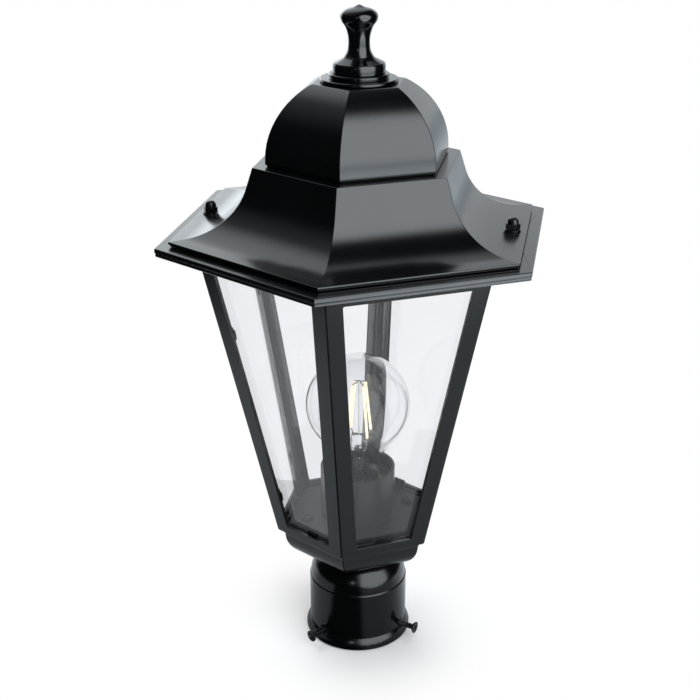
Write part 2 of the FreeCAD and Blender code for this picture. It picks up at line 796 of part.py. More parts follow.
def terminal_block():
    depth_low = terminal_circle_radius - terminal_depth / 2.0
    depth_high = terminal_circle_radius + terminal_depth / 2.0
    top = bowl_floor_z + terminal_height
    shoulder = bowl_floor_z + terminal_height * 0.6
    body = box(depth_low, depth_high, -terminal_width / 2.0, terminal_width / 2.0, bowl_floor_z, shoulder)
    cuts = []
    for index in range(terminal_poles):
        y = (index - (terminal_poles - 1) / 2.0) * terminal_pitch()
        turret = terminal_pitch() * 0.36
        body = body.fuse(disc(turret, bowl_floor_z, top, terminal_circle_radius, y))
        cuts.append(disc(terminal_screw_radius + thread_gap, shoulder, top, terminal_circle_radius, y))
        cuts.append(Part.makeCylinder(terminal_wire_radius, terminal_depth * 2.0,
                                      FreeCAD.Vector(depth_low - terminal_depth / 2.0, y,
                                                     bowl_floor_z + terminal_height * 0.3),
                                      FreeCAD.Vector(1, 0, 0)))
    return turned(body.cut(cuts).removeSplitter(), terminal_angle)


def terminal_screws():
    screws = []
    low = bowl_floor_z + terminal_height * 0.6
    high = bowl_floor_z + terminal_height - 1.0
    for index in range(terminal_poles):
        y = (index - (terminal_poles - 1) / 2.0) * terminal_pitch()
        screw = disc(terminal_screw_radius, low, high, terminal_circle_radius, y)
        slot = box(terminal_circle_radius - terminal_screw_radius,
                   terminal_circle_radius + terminal_screw_radius,
                   y - terminal_slot / 2.0, y + terminal_slot / 2.0, high - terminal_slot, high)
        screws.append(turned(screw.cut(slot), terminal_angle))
    return Part.makeCompound(screws)


# ---- lamp ----
def lamp_outline(inset, low):
    # globe, smooth taper and neck as a solid of revolution
    centre = point(0, lamp_centre_z)
    radius = lamp_radius - inset
    taper = math.radians(lamp_taper_angle)
    globe_end = centre + FreeCAD.Vector(radius * math.cos(taper), 0, -radius * math.sin(taper))
    neck = lamp_neck_radius - inset
    neck_top = point(neck, cap_top_z + lamp_neck_height)
    reach = (globe_end.z - neck_top.z) * lamp_taper_fullness
    taper_pole = globe_end + FreeCAD.Vector(-math.sin(taper), 0, -math.cos(taper)) * reach
    neck_pole = neck_top + FreeCAD.Vector(0, 0, reach)
    taper_curve = Part.BezierCurve()
    taper_curve.setPoles([globe_end, taper_pole, neck_pole, neck_top])
    foot = cap_radius - cap_wall - thread_gap - inset
    shoulder = point(neck, cap_top_z + lamp_shoulder_height)
    edges = [
        centre_arc(centre, radius, 90, -lamp_taper_angle),
        taper_curve.toShape(),
        line(neck_top, shoulder),
        line(shoulder, point(foot, cap_top_z)),
        line(point(foot, cap_top_z), point(foot, low)),
        line(point(foot, low), point(0, low)),
        line(point(0, low), centre + FreeCAD.Vector(0, 0, radius)),
    ]
    return spun(Part.Face(Part.Wire(edges)))


def lamp_glass():
    low = cap_top_z - lamp_glass_in_cap
    below = low - lamp_glass_wall
    return lamp_outline(0, low).cut(lamp_outline(lamp_glass_wall, below)).removeSplitter()


def lamp_cap():
    inner = cap_radius - cap_wall
    outline = [point(inner, cap_bottom_z), point(cap_radius, cap_bottom_z), point(cap_radius, cap_top_z),
               point(inner, cap_top_z)]
    return spun(polygon_face(outline))


def lamp_insulator():
    low = lamp_bottom_z + lamp_contact_height
    rim = cap_radius - cap_wall - thread_gap
    top = cap_bottom_z + insulator_in_cap
    outline = [point(0, low), point(lamp_contact_radius + 0.6, low),
               point(rim, cap_bottom_z - thread_gap), point(rim, top), point(0, top)]
    return spun(polygon_face(outline))


def lamp_contact():
    top = lamp_bottom_z + lamp_contact_height
    outline = [point(0, lamp_bottom_z), point(lamp_contact_radius * 0.8, lamp_bottom_z),
               point(lamp_contact_radius, top - 0.4), point(lamp_contact_radius, top), point(0, top)]
    return spun(polygon_face(outline))


def filament_levels():
    top = lamp_crown_z - filament_top_below_crown
    return top - filament_length, top


def lamp_stem():
    bottom, top = filament_levels()
    foot_low = cap_bottom_z + insulator_in_cap
    flare_top = cap_top_z + stem_foot_height
    pinch_top = bottom - stem_pinch_gap
    pinch_low = pinch_top - stem_pinch_height
    tube_top = pinch_low + stem_tube_radius / 2.0
    outline = [point(0, foot_low), point(stem_foot_radius, foot_low),
               point(stem_foot_radius * 0.8, cap_top_z), point(stem_tube_radius, flare_top),
               point(stem_tube_radius, tube_top), point(0, tube_top)]
    body = spun(polygon_face(outline))
    flat = box(-stem_tube_radius * 1.5, stem_tube_radius * 1.5, -stem_tube_radius * 0.5,
               stem_tube_radius * 0.5, pinch_low, pinch_top)
    rod = disc(stem_rod_radius, pinch_low, top + stem_tip_height)
    return body.fuse([flat, rod]).removeSplitter()


def filament_ends(index):
    bottom, top = filament_levels()
    degrees = 360.0 / filament_count * (index + 0.5)
    x_low, y_low = polar(filament_bottom_circle, degrees)
    x_high, y_high = polar(filament_top_circle, degrees)
    return FreeCAD.Vector(x_low, y_low, bottom), FreeCAD.Vector(x_high, y_high, top)


def rod_between(start, end, radius):
    return Part.makeCylinder(radius, start.distanceToPoint(end), start, end - start)


def filaments():
    rods = []
    for index in range(filament_count):
        start, end = filament_ends(index)
        rods.append(rod_between(start, end, filament_radius))
    return Part.makeCompound(rods)


def filament_wires():
    wires = []
    bottom, top = filament_levels()
    for index in range(filament_count):
        start, end = filament_ends(index)
        hub_out = FreeCAD.Vector(end.x, end.y, 0).normalize() * (stem_rod_radius + wire_radius)
        hub = FreeCAD.Vector(hub_out.x, hub_out.y, top + stem_hub_height)
        above = end + (end - start).normalize() * (wire_radius + slip_gap)
        wires.append(rod_between(above, hub, wire_radius))
        foot_out = FreeCAD.Vector(start.x, start.y, 0).normalize() * (stem_tube_radius * 1.5 + wire_radius)
        foot = FreeCAD.Vector(foot_out.x, foot_out.y, bottom - stem_pinch_height * 0.4)
        below = start - (end - start).normalize() * (wire_radius + slip_gap)
        wires.append(rod_between(below, foot, wire_radius))
    return Part.makeCompound(wires)


# ---- roof ----
def skirt_paths():
    # outer and inner line of the concave wall, each as edges with its two ends
    rim = point(skirt_rim_apothem, ledge_z - skirt_edge_chamfer)
    lip = point(lip_apothem - skirt_edge_chamfer, lip_top_z)
    draft = math.radians(skirt_rim_draft)
    slope = math.radians(lip_slope)
    down = FreeCAD.Vector(math.sin(draft), 0, -math.cos(draft))
    inward = FreeCAD.Vector(-math.cos(slope), 0, math.sin(slope))
    outer_corner = crossing(rim, down, lip, inward)
    outer = round_corner(rim, outer_corner, lip, skirt_round)
    wall = casting_wall
    rim_in = rim + FreeCAD.Vector(-math.cos(draft), 0, -math.sin(draft)) * wall
    lip_in = lip + FreeCAD.Vector(-math.sin(slope), 0, -math.cos(slope)) * wall
    inner_corner = crossing(rim_in, down, lip_in, inward)
    rim_under = crossing(rim_in, down, point(0, bar_top_z), FreeCAD.Vector(1, 0, 0))
    lip_under = crossing(lip_in, inward, point(lip_apothem - lip_step, 0), FreeCAD.Vector(0, 0, 1))
    inner = round_corner(lip_under, inner_corner, rim_under, skirt_round + wall)
    return outer, inner, rim, lip, rim_under, lip_under


def pad_top_z():
    # top of the flat pad under a cap nut, from the slope of the lip
    slope = math.tan(math.radians(lip_slope))
    return lip_top_z + slope * (lip_apothem - roof_screw_circle_radius) + pad_rise


def roof_skirt():
    outer, inner, rim, lip, rim_under, lip_under = skirt_paths()
    step_z = roof_bottom_z + lip_height * 0.45
    lip_back = lip_apothem - lip_step
    ledge_edge = point(skirt_rim_apothem - skirt_edge_chamfer, ledge_z)
    edges = [line(point(throat_apothem, ledge_z), ledge_edge), line(ledge_edge, rim)]
    edges += outer
    edges += [line(lip, point(lip_apothem, lip_top_z - skirt_edge_chamfer)),
              line(point(lip_apothem, lip_top_z - skirt_edge_chamfer), point(lip_apothem, step_z)),
              line(point(lip_apothem, step_z), point(lip_back, step_z)),
              line(point(lip_back, step_z), lip_under)]
    edges += inner
    edges += [line(rim_under, point(throat_apothem, bar_top_z)),
              line(point(throat_apothem, bar_top_z), point(throat_apothem, ledge_z))]
    body = six_sided(Part.Face(Part.Wire(edges)))
    top = pad_top_z()
    hole = roof_screw_radius + roof_screw_hole_gap
    for hand in (-1, 1):
        x = hand * roof_screw_circle_radius
        body = body.fuse(disc(pad_radius, lip_under.z + pad_rise, top, x, 0))
        body = body.cut([disc(pad_radius, top, top + lip_height, x, 0),
                         disc(hole, roof_bottom_z - far / 10.0, top + lip_height, x, 0)])
    return body.removeSplitter()


def cupola():
    centre = point(cupola_apothem - cupola_radius, ledge_z + cupola_band)
    top_angle = math.degrees(math.asin((cupola_top_z - centre.z) / cupola_radius))
    inner_radius = cupola_radius - casting_wall
    inner_top_z = cupola_top_z - casting_wall
    inner_angle = math.degrees(math.asin((inner_top_z - centre.z) / inner_radius))
    top_edge = centre.x + cupola_radius * math.cos(math.radians(top_angle))
    inner_top_edge = centre.x + inner_radius * math.cos(math.radians(inner_angle))
    groove_x = cupola_apothem - cupola_groove_depth
    groove_z = ledge_z + cupola_groove_height
    flange_z = ledge_z + cupola_flange
    spigot_out = throat_apothem - seat_gap
    spigot_in = spigot_out - cupola_spigot_wall
    spigot_z = ledge_z - cupola_spigot_drop
    inner_side = cupola_apothem - casting_wall
    edges = [
        line(point(spigot_out, ledge_z), point(groove_x, ledge_z)),
        line(point(groove_x, ledge_z), point(groove_x, groove_z)),
        line(point(groove_x, groove_z), point(cupola_apothem, groove_z)),
        line(point(cupola_apothem, groove_z), point(cupola_apothem, centre.z)),
        centre_arc(centre, cupola_radius, 0, top_angle),
        line(point(top_edge, cupola_top_z), point(0, cupola_top_z)),
        line(point(0, cupola_top_z), point(0, inner_top_z)),
        line(point(0, inner_top_z), point(inner_top_edge, inner_top_z)),
        centre_arc(centre, inner_radius, inner_angle, 0),
        line(point(inner_side, centre.z), point(inner_side, flange_z)),
        line(point(inner_side, flange_z), point(spigot_in, flange_z)),
        line(point(spigot_in, flange_z), point(spigot_in, spigot_z)),
        line(point(spigot_in, spigot_z), point(spigot_out, spigot_z)),
        line(point(spigot_out, spigot_z), point(spigot_out, ledge_z)),
    ]
    body = six_sided(Part.Face(Part.Wire(edges)))
    return body.cut(disc(rod_radius + rod_hole_gap, inner_top_z, cupola_top_z)).removeSplitter()


def collar():
    hole = rod_radius + rod_hole_gap
    low = cupola_top_z
    step = low + collar_height
    top = step + collar_step_height
    edge = 0.5
    neck = collar_step_radius - collar_groove
    outline = [point(hole, low), point(collar_radius - edge, low), point(collar_radius, low + edge),
               point(collar_radius, step - edge), point(collar_radius - edge, step),
               point(neck, step), point(neck, step + collar_groove),
               point(collar_step_radius, step + collar_groove + edge / 2.0),
               point(collar_step_radius, top - edge), point(collar_step_radius - edge, top),
               point(hole, top)]
    return spun(polygon_face(outline))


def finial():
    base = finial_base_z
    tip = finial_tip_z
    base_top = base + finial_height * 0.117
    flare_out = point(finial_base_radius * 0.88, base + finial_height * 0.168)
    flare_in = point(finial_waist_radius * 1.25, base + finial_height * 0.271)
    waist = point(finial_waist_radius, base + finial_height * 0.455)
    knob_under = point(finial_knob_radius * 0.75, base + finial_height * 0.692)
    knob_side = point(finial_knob_radius, base + finial_height * 0.823)
    tip_foot = point(finial_tip_radius, tip - finial_height * 0.036)
    side_low = point(finial_base_radius, base_top)
    edges = [
        line(point(0, tip), tip_foot),
        arc(tip_foot, point(finial_knob_radius * 0.8, tip - finial_height * 0.095), knob_side),
        arc(knob_side, point(finial_knob_radius * 0.93, base + finial_height * 0.762), knob_under),
        arc(knob_under, waist, flare_in),
        arc(flare_in, point(finial_base_radius * 0.62, base + finial_height * 0.221), flare_out),
        arc(flare_out, point(finial_base_radius * 0.965, base + finial_height * 0.151), side_low),
        line(side_low, point(finial_base_radius, base + 0.4)),
        line(point(finial_base_radius, base + 0.4), point(finial_base_radius - 0.4, base)),
        line(point(finial_base_radius - 0.4, base), point(0, base)),
        line(point(0, base), point(0, tip)),
    ]
    body = spun(Part.Face(Part.Wire(edges)))
    return body.cut(disc(rod_radius + thread_gap, base, base + rod_reach + slip_gap)).removeSplitter()


def rod_levels():
    nut_top = bar_top_z - bar_thickness - rod_washer_thickness
    return nut_top - rod_nut_height - rod_overhang, finial_base_z + rod_reach


def tie_rod():
    low, high = rod_levels()
    return disc(rod_radius, low, high)


def bridge_bar():
    low = bar_top_z - bar_thickness
    reach = throat_apothem + bar_seat
    body = box(-reach, reach, -bar_width / 2.0, bar_width / 2.0, low, bar_top_z)
    upright = [edge for edge in body.Edges if edge.Length < bar_thickness * 1.01]
    body = body.makeFillet(bar_width * 0.2, upright)
    return body.cut(disc(rod_radius + rod_hole_gap, low, bar_top_z))


def rod_nut():
    washer_low = bar_top_z - bar_thickness - rod_washer_thickness
    washer = disc(rod_washer_radius, washer_low, washer_low + rod_washer_thickness)
    washer = washer.cut(disc(rod_radius + rod_hole_gap, washer_low, washer_low + rod_washer_thickness))
    nut_low = washer_low - rod_nut_height
    nut = nut_prism(rod_nut_flats, nut_low, washer_low)
    nut = nut.cut(disc(rod_radius + thread_gap, nut_low, washer_low))
    return Part.makeCompound([washer, nut])


def roof_screws():
    # pan heads under the eave ring, shanks up through ring and roof
    top = pad_top_z() + roof_screw_above_pad
    screw = pan_head_screw(roof_screw_radius, top - frame_top_z, pan_head_radius, pan_head_height)
    screw.rotate(FreeCAD.Vector(0, 0, 0), FreeCAD.Vector(1, 0, 0), 180)
    return Part.makeCompound([placed(screw, hand * roof_screw_circle_radius, 0, frame_top_z)
                              for hand in (-1, 1)])


def nut_washers():
    low = pad_top_z()
    high = low + washer_thickness
    washers = []
    for hand in (-1, 1):
        x = hand * roof_screw_circle_radius
        ring = disc(washer_radius, low, high, x, 0)
        washers.append(ring.cut(disc(roof_screw_radius + roof_screw_hole_gap, low, high, x, 0)))
    return Part.makeCompound(washers)


def cap_nut(hand):
    x = hand * roof_screw_circle_radius
    low = pad_top_z() + washer_thickness + seat_gap
    dome_low = low + cap_nut_hex_height
    top = low + cap_nut_height
    hexagon = nut_prism(cap_nut_flats, low, dome_low)
    chamfer = cap_nut_flats * 0.5 * 1.02
    bevel_outline = [point(0, low), point(chamfer, low), point(cap_nut_flats * 0.6, low + 0.6),
                     point(cap_nut_flats * 0.6, dome_low - 0.6), point(chamfer, dome_low),
                     point(0, dome_low)]
    hexagon = hexagon.common(spun(polygon_face(bevel_outline)))
    crown_centre = point(0, top - cap_nut_crown_radius)
    crown_angle = math.degrees(math.acos(cap_nut_dome_radius / cap_nut_crown_radius))
    side_top = crown_centre.z + cap_nut_crown_radius * math.sin(math.radians(crown_angle))
    edges = [
        line(point(0, low), point(cap_nut_dome_radius, low)),
        line(point(cap_nut_dome_radius, low), point(cap_nut_dome_radius, side_top)),
        centre_arc(crown_centre, cap_nut_crown_radius, crown_angle, 90),
        line(point(0, top), point(0, low)),
    ]
    dome = spun(Part.Face(Part.Wire(edges)))
    bore_top = pad_top_z() + roof_screw_above_pad + seat_gap
    body = hexagon.fuse(dome).cut(disc(roof_screw_radius + thread_gap, low, bore_top))
    return placed(body.removeSplitter(), x, 0, 0)


# ---- write one file per piece ----
def pieces():
    named = {"fitter": fitting(), "stem_nipple": nipple(), "nipple_nuts": nipple_nuts(),
             "base_bowl": bowl(), "earth_screw": earth_screw()}
    for index, degrees in enumerate(clamp_screw_angles):
        named["clamp_screw_%d" % (index + 1)] = clamp_screw(degrees)
    frame = side_frame()
    glass = pane()
    for index in range(sides):
        named["side_frame_%d" % (index + 1)] = turned(frame, side_angle * index)
        named["pane_%d" % (index + 1)] = turned(glass, side_angle * index)
    named["pane_clips"] = pane_clips()
    named["eave_ring"] = eave_ring()
    named["ring_screws"] = ring_screws()
    named["floor_plate"] = floor_plate()
    named["floor_screws"] = floor_screws()
    named["holder_sleeve"] = holder_sleeve()
    named["lamp_socket"] = lamp_socket()
    named["socket_shell"] = socket_shell()
    named["socket_contact"] = socket_contact()
    named["socket_screws"] = socket_screws()
    named["terminal_block"] = terminal_block()
    named["terminal_screws"] = terminal_screws()
    named["bulb_glass"] = lamp_glass()
    named["bulb_cap"] = lamp_cap()
    named["bulb_insulator"] = lamp_insulator()
    named["bulb_contact"] = lamp_contact()
    named["bulb_stem"] = lamp_stem()
    named["filaments"] = filaments()
    named["filament_wires"] = filament_wires()
    named["roof_skirt"] = roof_skirt()
    named["cupola"] = cupola()
    named["finial_collar"] = collar()
    named["finial"] = finial()
    named["tie_rod"] = tie_rod()
    named["bridge_bar"] = bridge_bar()
    named["rod_nut"] = rod_nut()
    named["roof_screws"] = roof_screws()
    named["nut_washers"] = nut_washers()
    named["cap_nut_left"] = cap_nut(-1)
    named["cap_nut_right"] = cap_nut(1)
    return named


os.makedirs("parts", exist_ok=True)
for name, shape in pieces().items():
    solids = shape.Solids
    volume = sum(solid.Volume for solid in solids)
    print("%-18s solids %2d  volume %10.1f  valid %s" % (name, len(solids), volume, shape.isValid()))
    shape.exportStep("parts/%s.step" % name)
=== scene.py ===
import json
import math
import bmesh
import bpy
from mathutils import Matrix, Vector


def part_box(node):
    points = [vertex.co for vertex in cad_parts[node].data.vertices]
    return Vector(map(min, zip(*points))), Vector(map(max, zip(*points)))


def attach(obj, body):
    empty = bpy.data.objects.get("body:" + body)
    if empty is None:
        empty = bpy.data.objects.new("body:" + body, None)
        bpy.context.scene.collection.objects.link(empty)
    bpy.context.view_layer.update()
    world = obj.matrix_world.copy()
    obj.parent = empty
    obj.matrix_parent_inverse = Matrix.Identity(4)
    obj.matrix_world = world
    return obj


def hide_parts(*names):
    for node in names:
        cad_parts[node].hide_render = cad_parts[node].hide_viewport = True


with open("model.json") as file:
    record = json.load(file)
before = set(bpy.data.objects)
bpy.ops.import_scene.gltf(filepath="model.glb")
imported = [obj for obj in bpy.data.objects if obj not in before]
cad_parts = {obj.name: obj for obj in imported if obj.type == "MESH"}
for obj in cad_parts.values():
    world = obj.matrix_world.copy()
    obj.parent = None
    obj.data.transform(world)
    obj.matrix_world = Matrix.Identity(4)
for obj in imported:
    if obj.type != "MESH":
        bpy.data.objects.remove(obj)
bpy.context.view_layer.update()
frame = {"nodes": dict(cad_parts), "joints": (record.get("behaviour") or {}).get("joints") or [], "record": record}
nodes = frame["nodes"]
bodyOf = {member: body for body, members in frame["record"]["behaviour"]["bodies"].items() for member in members}
slotOf = {entry["node"]: entry["material_slot"] for entry in frame["record"]["subparts"]}
print("frame loaded:", len(nodes), "nodes")

mm = 0.001
hexHalf = math.radians(30.0)  # half a side of the hexagon, seen from the axis
cosHex = math.cos(hexHalf)
tanHex = math.tan(hexHalf)


# small helpers for node trees
def addNode(tree, kind, label=None, **values):
    node = tree.nodes.new(kind)
    if label:
        node.label = label
    for key, value in values.items():
        setattr(node, key, value)
    return node


def setInputs(node, **values):
    for key, value in values.items():
        node.inputs[key.replace("_", " ")].default_value = value
    return node


def feed(tree, target, value):
    # a socket is linked, anything else is set
    if isinstance(value, bpy.types.NodeSocket):
        tree.links.new(value, target)
    else:
        target.default_value = value


def mathOf(tree, operation, *values, clamp=False):
    node = addNode(tree, "ShaderNodeMath", operation=operation, use_clamp=clamp)
    for target, value in zip(node.inputs, values):
        feed(tree, target, value)
    return node.outputs["Value"]


def vectorOf(tree, operation, *values):
    # a length and a dot product are values, the others vectors
    node = addNode(tree, "ShaderNodeVectorMath", operation=operation)
    for target, value in zip(node.inputs, values):
        feed(tree, target, value)
    return node.outputs["Value" if operation in ("LENGTH", "DOT_PRODUCT") else "Vector"]


def rangeOf(tree, valueSocket, low, high, fromLow=0.0, fromHigh=1.0, smooth=False):
    node = addNode(tree, "ShaderNodeMapRange", interpolation_type="SMOOTHSTEP" if smooth else "LINEAR")
    setInputs(node, From_Min=fromLow, From_Max=fromHigh, To_Min=low, To_Max=high)
    tree.links.new(valueSocket, node.inputs["Value"])
    return node.outputs["Result"]


def addTexture(tree, kind, label, vectorSocket, scale, **values):
    node = setInputs(addNode(tree, kind, label), **values)
    tree.links.new(vectorSocket, node.inputs["Vector"])
    feed(tree, node.inputs["Scale"], scale)
    return node


def rampColour(tree, factorSocket, stops):
    ramp = tree.nodes.new("ShaderNodeValToRGB")
    while len(ramp.color_ramp.elements) < len(stops):
        ramp.color_ramp.elements.new(0.5)
    for element, (position, colour) in zip(ramp.color_ramp.elements, stops):
        element.position = position
        element.color = (*colour, 1.0)
    tree.links.new(factorSocket, ramp.inputs["Fac"])
    return ramp.outputs["Color"]


def bumpFrom(tree, heightSocket, finish, shader):
    bump = tree.nodes.new("ShaderNodeBump")
    setInputs(bump, Strength=finish["bump"], Distance=finish["bumpDistance"])
    tree.links.new(heightSocket, bump.inputs["Height"])
    tree.links.new(bump.outputs["Normal"], shader.inputs["Normal"])


def mixShaders(tree, share, first, second):
    mix = tree.nodes.new("ShaderNodeMixShader")
    for target, socket in zip(mix.inputs, (share, first, second)):
        tree.links.new(socket, target)
    return mix.outputs["Shader"]


def startGroup(name, inputs, outputs):
    # an input that starts from three numbers is a vector
    tree = bpy.data.node_groups.new(name, "ShaderNodeTree")
    for socketName, value in inputs.items():
        kind = "NodeSocketVector" if isinstance(value, tuple) else "NodeSocketFloat"
        tree.interface.new_socket(name=socketName, in_out="INPUT", socket_type=kind).default_value = value
    for socketName in outputs:
        tree.interface.new_socket(name=socketName, in_out="OUTPUT", socket_type="NodeSocketFloat")
    return tree, tree.nodes.new("NodeGroupInput").outputs, tree.nodes.new("NodeGroupOutput").inputs


def placeGroup(tree, group, vectorSocket, values=None):
    node = tree.nodes.new("ShaderNodeGroup")
    node.node_tree = group
    tree.links.new(vectorSocket, node.inputs["Vector"])
    for key, value in (values or {}).items():
        node.inputs[key].default_value = value
    return node.outputs


def startTree(owner, outputKind):
    # the empty tree of a material or a world
    owner.use_nodes = True
    tree = owner.node_tree
    tree.nodes.clear()
    return tree, tree.nodes.new(outputKind).inputs["Surface"], tree.nodes.new("ShaderNodeTexCoord").outputs


def startMaterial(name):
    material = bpy.data.materials.new(name)
    tree, surface, coords = startTree(material, "ShaderNodeOutputMaterial")
    shader = tree.nodes.new("ShaderNodeBsdfPrincipled")
    tree.links.new(shader.outputs["BSDF"], surface)
    return material, tree, shader, coords["Object"]


# effects that several materials share
skinSet = {"peelHeight": 0.06, "peelGloss": 0.25, "cloudScale": 14.0, "cloudGloss": 0.75, "nibWidth": 0.11,
           "nibRare": 0.965}


def makePaintSkin():
    # sprayed paint over a casting: fine orange peel, slow waviness, a few dust nibs
    s = skinSet
    tree, source, sink = startGroup(
        "paintSkin", {"Vector": (0.0, 0.0, 0.0), "Peel Scale": 900.0, "Wave Scale": 45.0, "Wave Share": 0.6,
                      "Nib Scale": 150.0, "Nib Share": 0.5}, ("Tone", "Gloss", "Height"))
    vector = source["Vector"]
    peel = addTexture(tree, "ShaderNodeTexNoise", "orange peel", vector, source["Peel Scale"],
                      Detail=3.0, Roughness=0.55).outputs["Fac"]
    wave = addTexture(tree, "ShaderNodeTexNoise", "casting waviness", vector, source["Wave Scale"],
                      Detail=1.0, Roughness=0.4).outputs["Fac"]
    cloud = addTexture(tree, "ShaderNodeTexNoise", "uneven gloss", vector, s["cloudScale"],
                       Detail=4.0, Roughness=0.6).outputs["Fac"]
    nibs = addTexture(tree, "ShaderNodeTexVoronoi", "dust nibs", vector, source["Nib Scale"], Randomness=1.0)
    nibColour = addNode(tree, "ShaderNodeSeparateColor")
    tree.links.new(nibs.outputs["Color"], nibColour.inputs["Color"])
    rare = mathOf(tree, "GREATER_THAN", nibColour.outputs["Red"], s["nibRare"])
    nib = mathOf(tree, "MULTIPLY", rangeOf(tree, nibs.outputs["Distance"], 1.0, 0.0, 0.0, s["nibWidth"]), rare)
    surface = mathOf(tree, "ADD", mathOf(tree, "MULTIPLY", wave, source["Wave Share"]),
                     mathOf(tree, "MULTIPLY", peel, s["peelHeight"]))
    height = mathOf(tree, "ADD", surface, mathOf(tree, "MULTIPLY", nib, source["Nib Share"]))
    gloss = mathOf(tree, "ADD", rangeOf(tree, cloud, 0.0, s["cloudGloss"]), rangeOf(tree, peel, 0.0, s["peelGloss"]))
    for name, socket in (("Tone", cloud), ("Gloss", gloss), ("Height", height)):
        tree.links.new(socket, sink[name])
    return tree


def makeMetalGrain():
    # drawn or turned metal: streaks along one direction and blotches of plating
    tree, source, sink = startGroup(
        "metalGrain", {"Vector": (0.0, 0.0, 0.0), "Stretch": (1.0, 1.0, 0.08), "Scale": 1600.0,
                       "Blotch Scale": 160.0}, ("Tone", "Gloss", "Height"))
    squeezed = vectorOf(tree, "MULTIPLY", source["Vector"], source["Stretch"])
    streak = addTexture(tree, "ShaderNodeTexNoise", "streaks", squeezed, source["Scale"],
                        Detail=2.0, Roughness=0.6).outputs["Fac"]
    blotch = addTexture(tree, "ShaderNodeTexNoise", "plating blotches", source["Vector"], source["Blotch Scale"],
                        Detail=5.0, Roughness=0.65).outputs["Fac"]
    gloss = mathOf(tree, "ADD", rangeOf(tree, streak, 0.0, 0.5), rangeOf(tree, blotch, 0.0, 0.5))
    for name, socket in (("Tone", blotch), ("Gloss", gloss), ("Height", streak)):
        tree.links.new(socket, sink[name])
    return tree


def makeGlassSkin():
    # faint smears on glass, as a mask and a height
    tree, source, sink = startGroup("glassSkin", {"Vector": (0.0, 0.0, 0.0), "Smear Scale": 22.0},
                                    ("Smear", "Height"))
    smear = addTexture(tree, "ShaderNodeTexNoise", "smears", source["Vector"], source["Smear Scale"],
                       Detail=4.0, Roughness=0.55, Distortion=0.8).outputs["Fac"]
    tree.links.new(rangeOf(tree, smear, 0.0, 1.0, 0.45, 0.75), sink["Smear"])
    tree.links.new(smear, sink["Height"])
    return tree


paintSkin = makePaintSkin()
metalGrain = makeMetalGrain()
glassSkin = makeGlassSkin()
print("shared effects built")


# where a noise's tone turns from the low colour to the high one, and its gloss from low to high
toneRange = (0.3, 0.7)
glossRange = (0.25, 0.75)


def toneAndGloss(tree, shader, skin, finish):
    colour = rampColour(tree, skin["Tone"], [(toneRange[0], finish["low"]), (toneRange[1], finish["high"])])
    tree.links.new(colour, shader.inputs["Base Color"])
    tree.links.new(rangeOf(tree, skin["Gloss"], finish["roughLow"], finish["roughHigh"], *glossRange),
                   shader.inputs["Roughness"])
    bumpFrom(tree, skin["Height"], finish, shader)


paintFinishes = {
    "blackCasting": {"low": (0.0008, 0.0010, 0.0011), "high": (0.0015, 0.0019, 0.0020),
                     "roughLow": 0.17, "roughHigh": 0.25, "specular": 0.85,
                     "values": {"Peel Scale": 850.0, "Wave Scale": 42.0, "Wave Share": 0.7,
                                "Nib Scale": 130.0, "Nib Share": 0.2},
                     "bump": 0.35, "bumpDistance": 0.0006},
    "blackTurned": {"low": (0.0010, 0.0012, 0.0013), "high": (0.0019, 0.0022, 0.0023),
                    "roughLow": 0.08, "roughHigh": 0.13, "specular": 0.8,
                    "values": {"Peel Scale": 500.0, "Wave Scale": 90.0, "Wave Share": 0.25,
                               "Nib Scale": 160.0, "Nib Share": 0.2},
                    "bump": 0.18, "bumpDistance": 0.0004},
    "blackCup": {"low": (0.0007, 0.0009, 0.0010), "high": (0.0013, 0.0016, 0.0017),
                 "roughLow": 0.14, "roughHigh": 0.20, "specular": 0.6,
                 "values": {"Peel Scale": 700.0, "Wave Scale": 60.0, "Wave Share": 0.45,
                            "Nib Scale": 140.0, "Nib Share": 0.5},
                 "bump": 0.22, "bumpDistance": 0.0005},
    "blackInside": {"low": (0.0016, 0.0019, 0.0020), "high": (0.0030, 0.0035, 0.0037),
                    "roughLow": 0.40, "roughHigh": 0.52, "specular": 0.22,
                    "values": {"Peel Scale": 1100.0, "Wave Scale": 38.0, "Wave Share": 0.5,
                               "Nib Scale": 150.0, "Nib Share": 0.6},
                    "bump": 0.3, "bumpDistance": 0.0005},
    "blackHolder": {"low": (0.0040, 0.0046, 0.0049), "high": (0.0065, 0.0073, 0.0077),
                    "roughLow": 0.33, "roughHigh": 0.44, "specular": 0.5,
                    "values": {"Peel Scale": 1500.0, "Wave Scale": 30.0, "Wave Share": 0.2,
                               "Nib Scale": 200.0, "Nib Share": 0.0},
                    "bump": 0.2, "bumpDistance": 0.0003},
    "blackScrew": {"low": (0.0020, 0.0022, 0.0024), "high": (0.0050, 0.0054, 0.0058),
                   "roughLow": 0.16, "roughHigh": 0.30, "specular": 0.6,
                   "values": {"Peel Scale": 2600.0, "Wave Scale": 300.0, "Wave Share": 0.4,
                              "Nib Scale": 600.0, "Nib Share": 0.2},
                   "bump": 0.25, "bumpDistance": 0.0002},
    # moulded pieces, with a fine spark-eroded grain
    "terminalPlastic": {"low": (0.70, 0.68, 0.60), "high": (0.82, 0.80, 0.73),
                        "roughLow": 0.35, "roughHigh": 0.5, "specular": 0.5,
                        "values": {"Peel Scale": 2200.0, "Wave Share": 0.1, "Nib Share": 0.0},
                        "bump": 0.3, "bumpDistance": 0.0003},
    "insulatorGlass": {"low": (0.010, 0.010, 0.011), "high": (0.02, 0.02, 0.022),
                       "roughLow": 0.12, "roughHigh": 0.2, "specular": 0.5,
                       "values": {"Peel Scale": 2200.0, "Wave Share": 0.1, "Nib Share": 0.0},
                       "bump": 0.3, "bumpDistance": 0.0003},
}


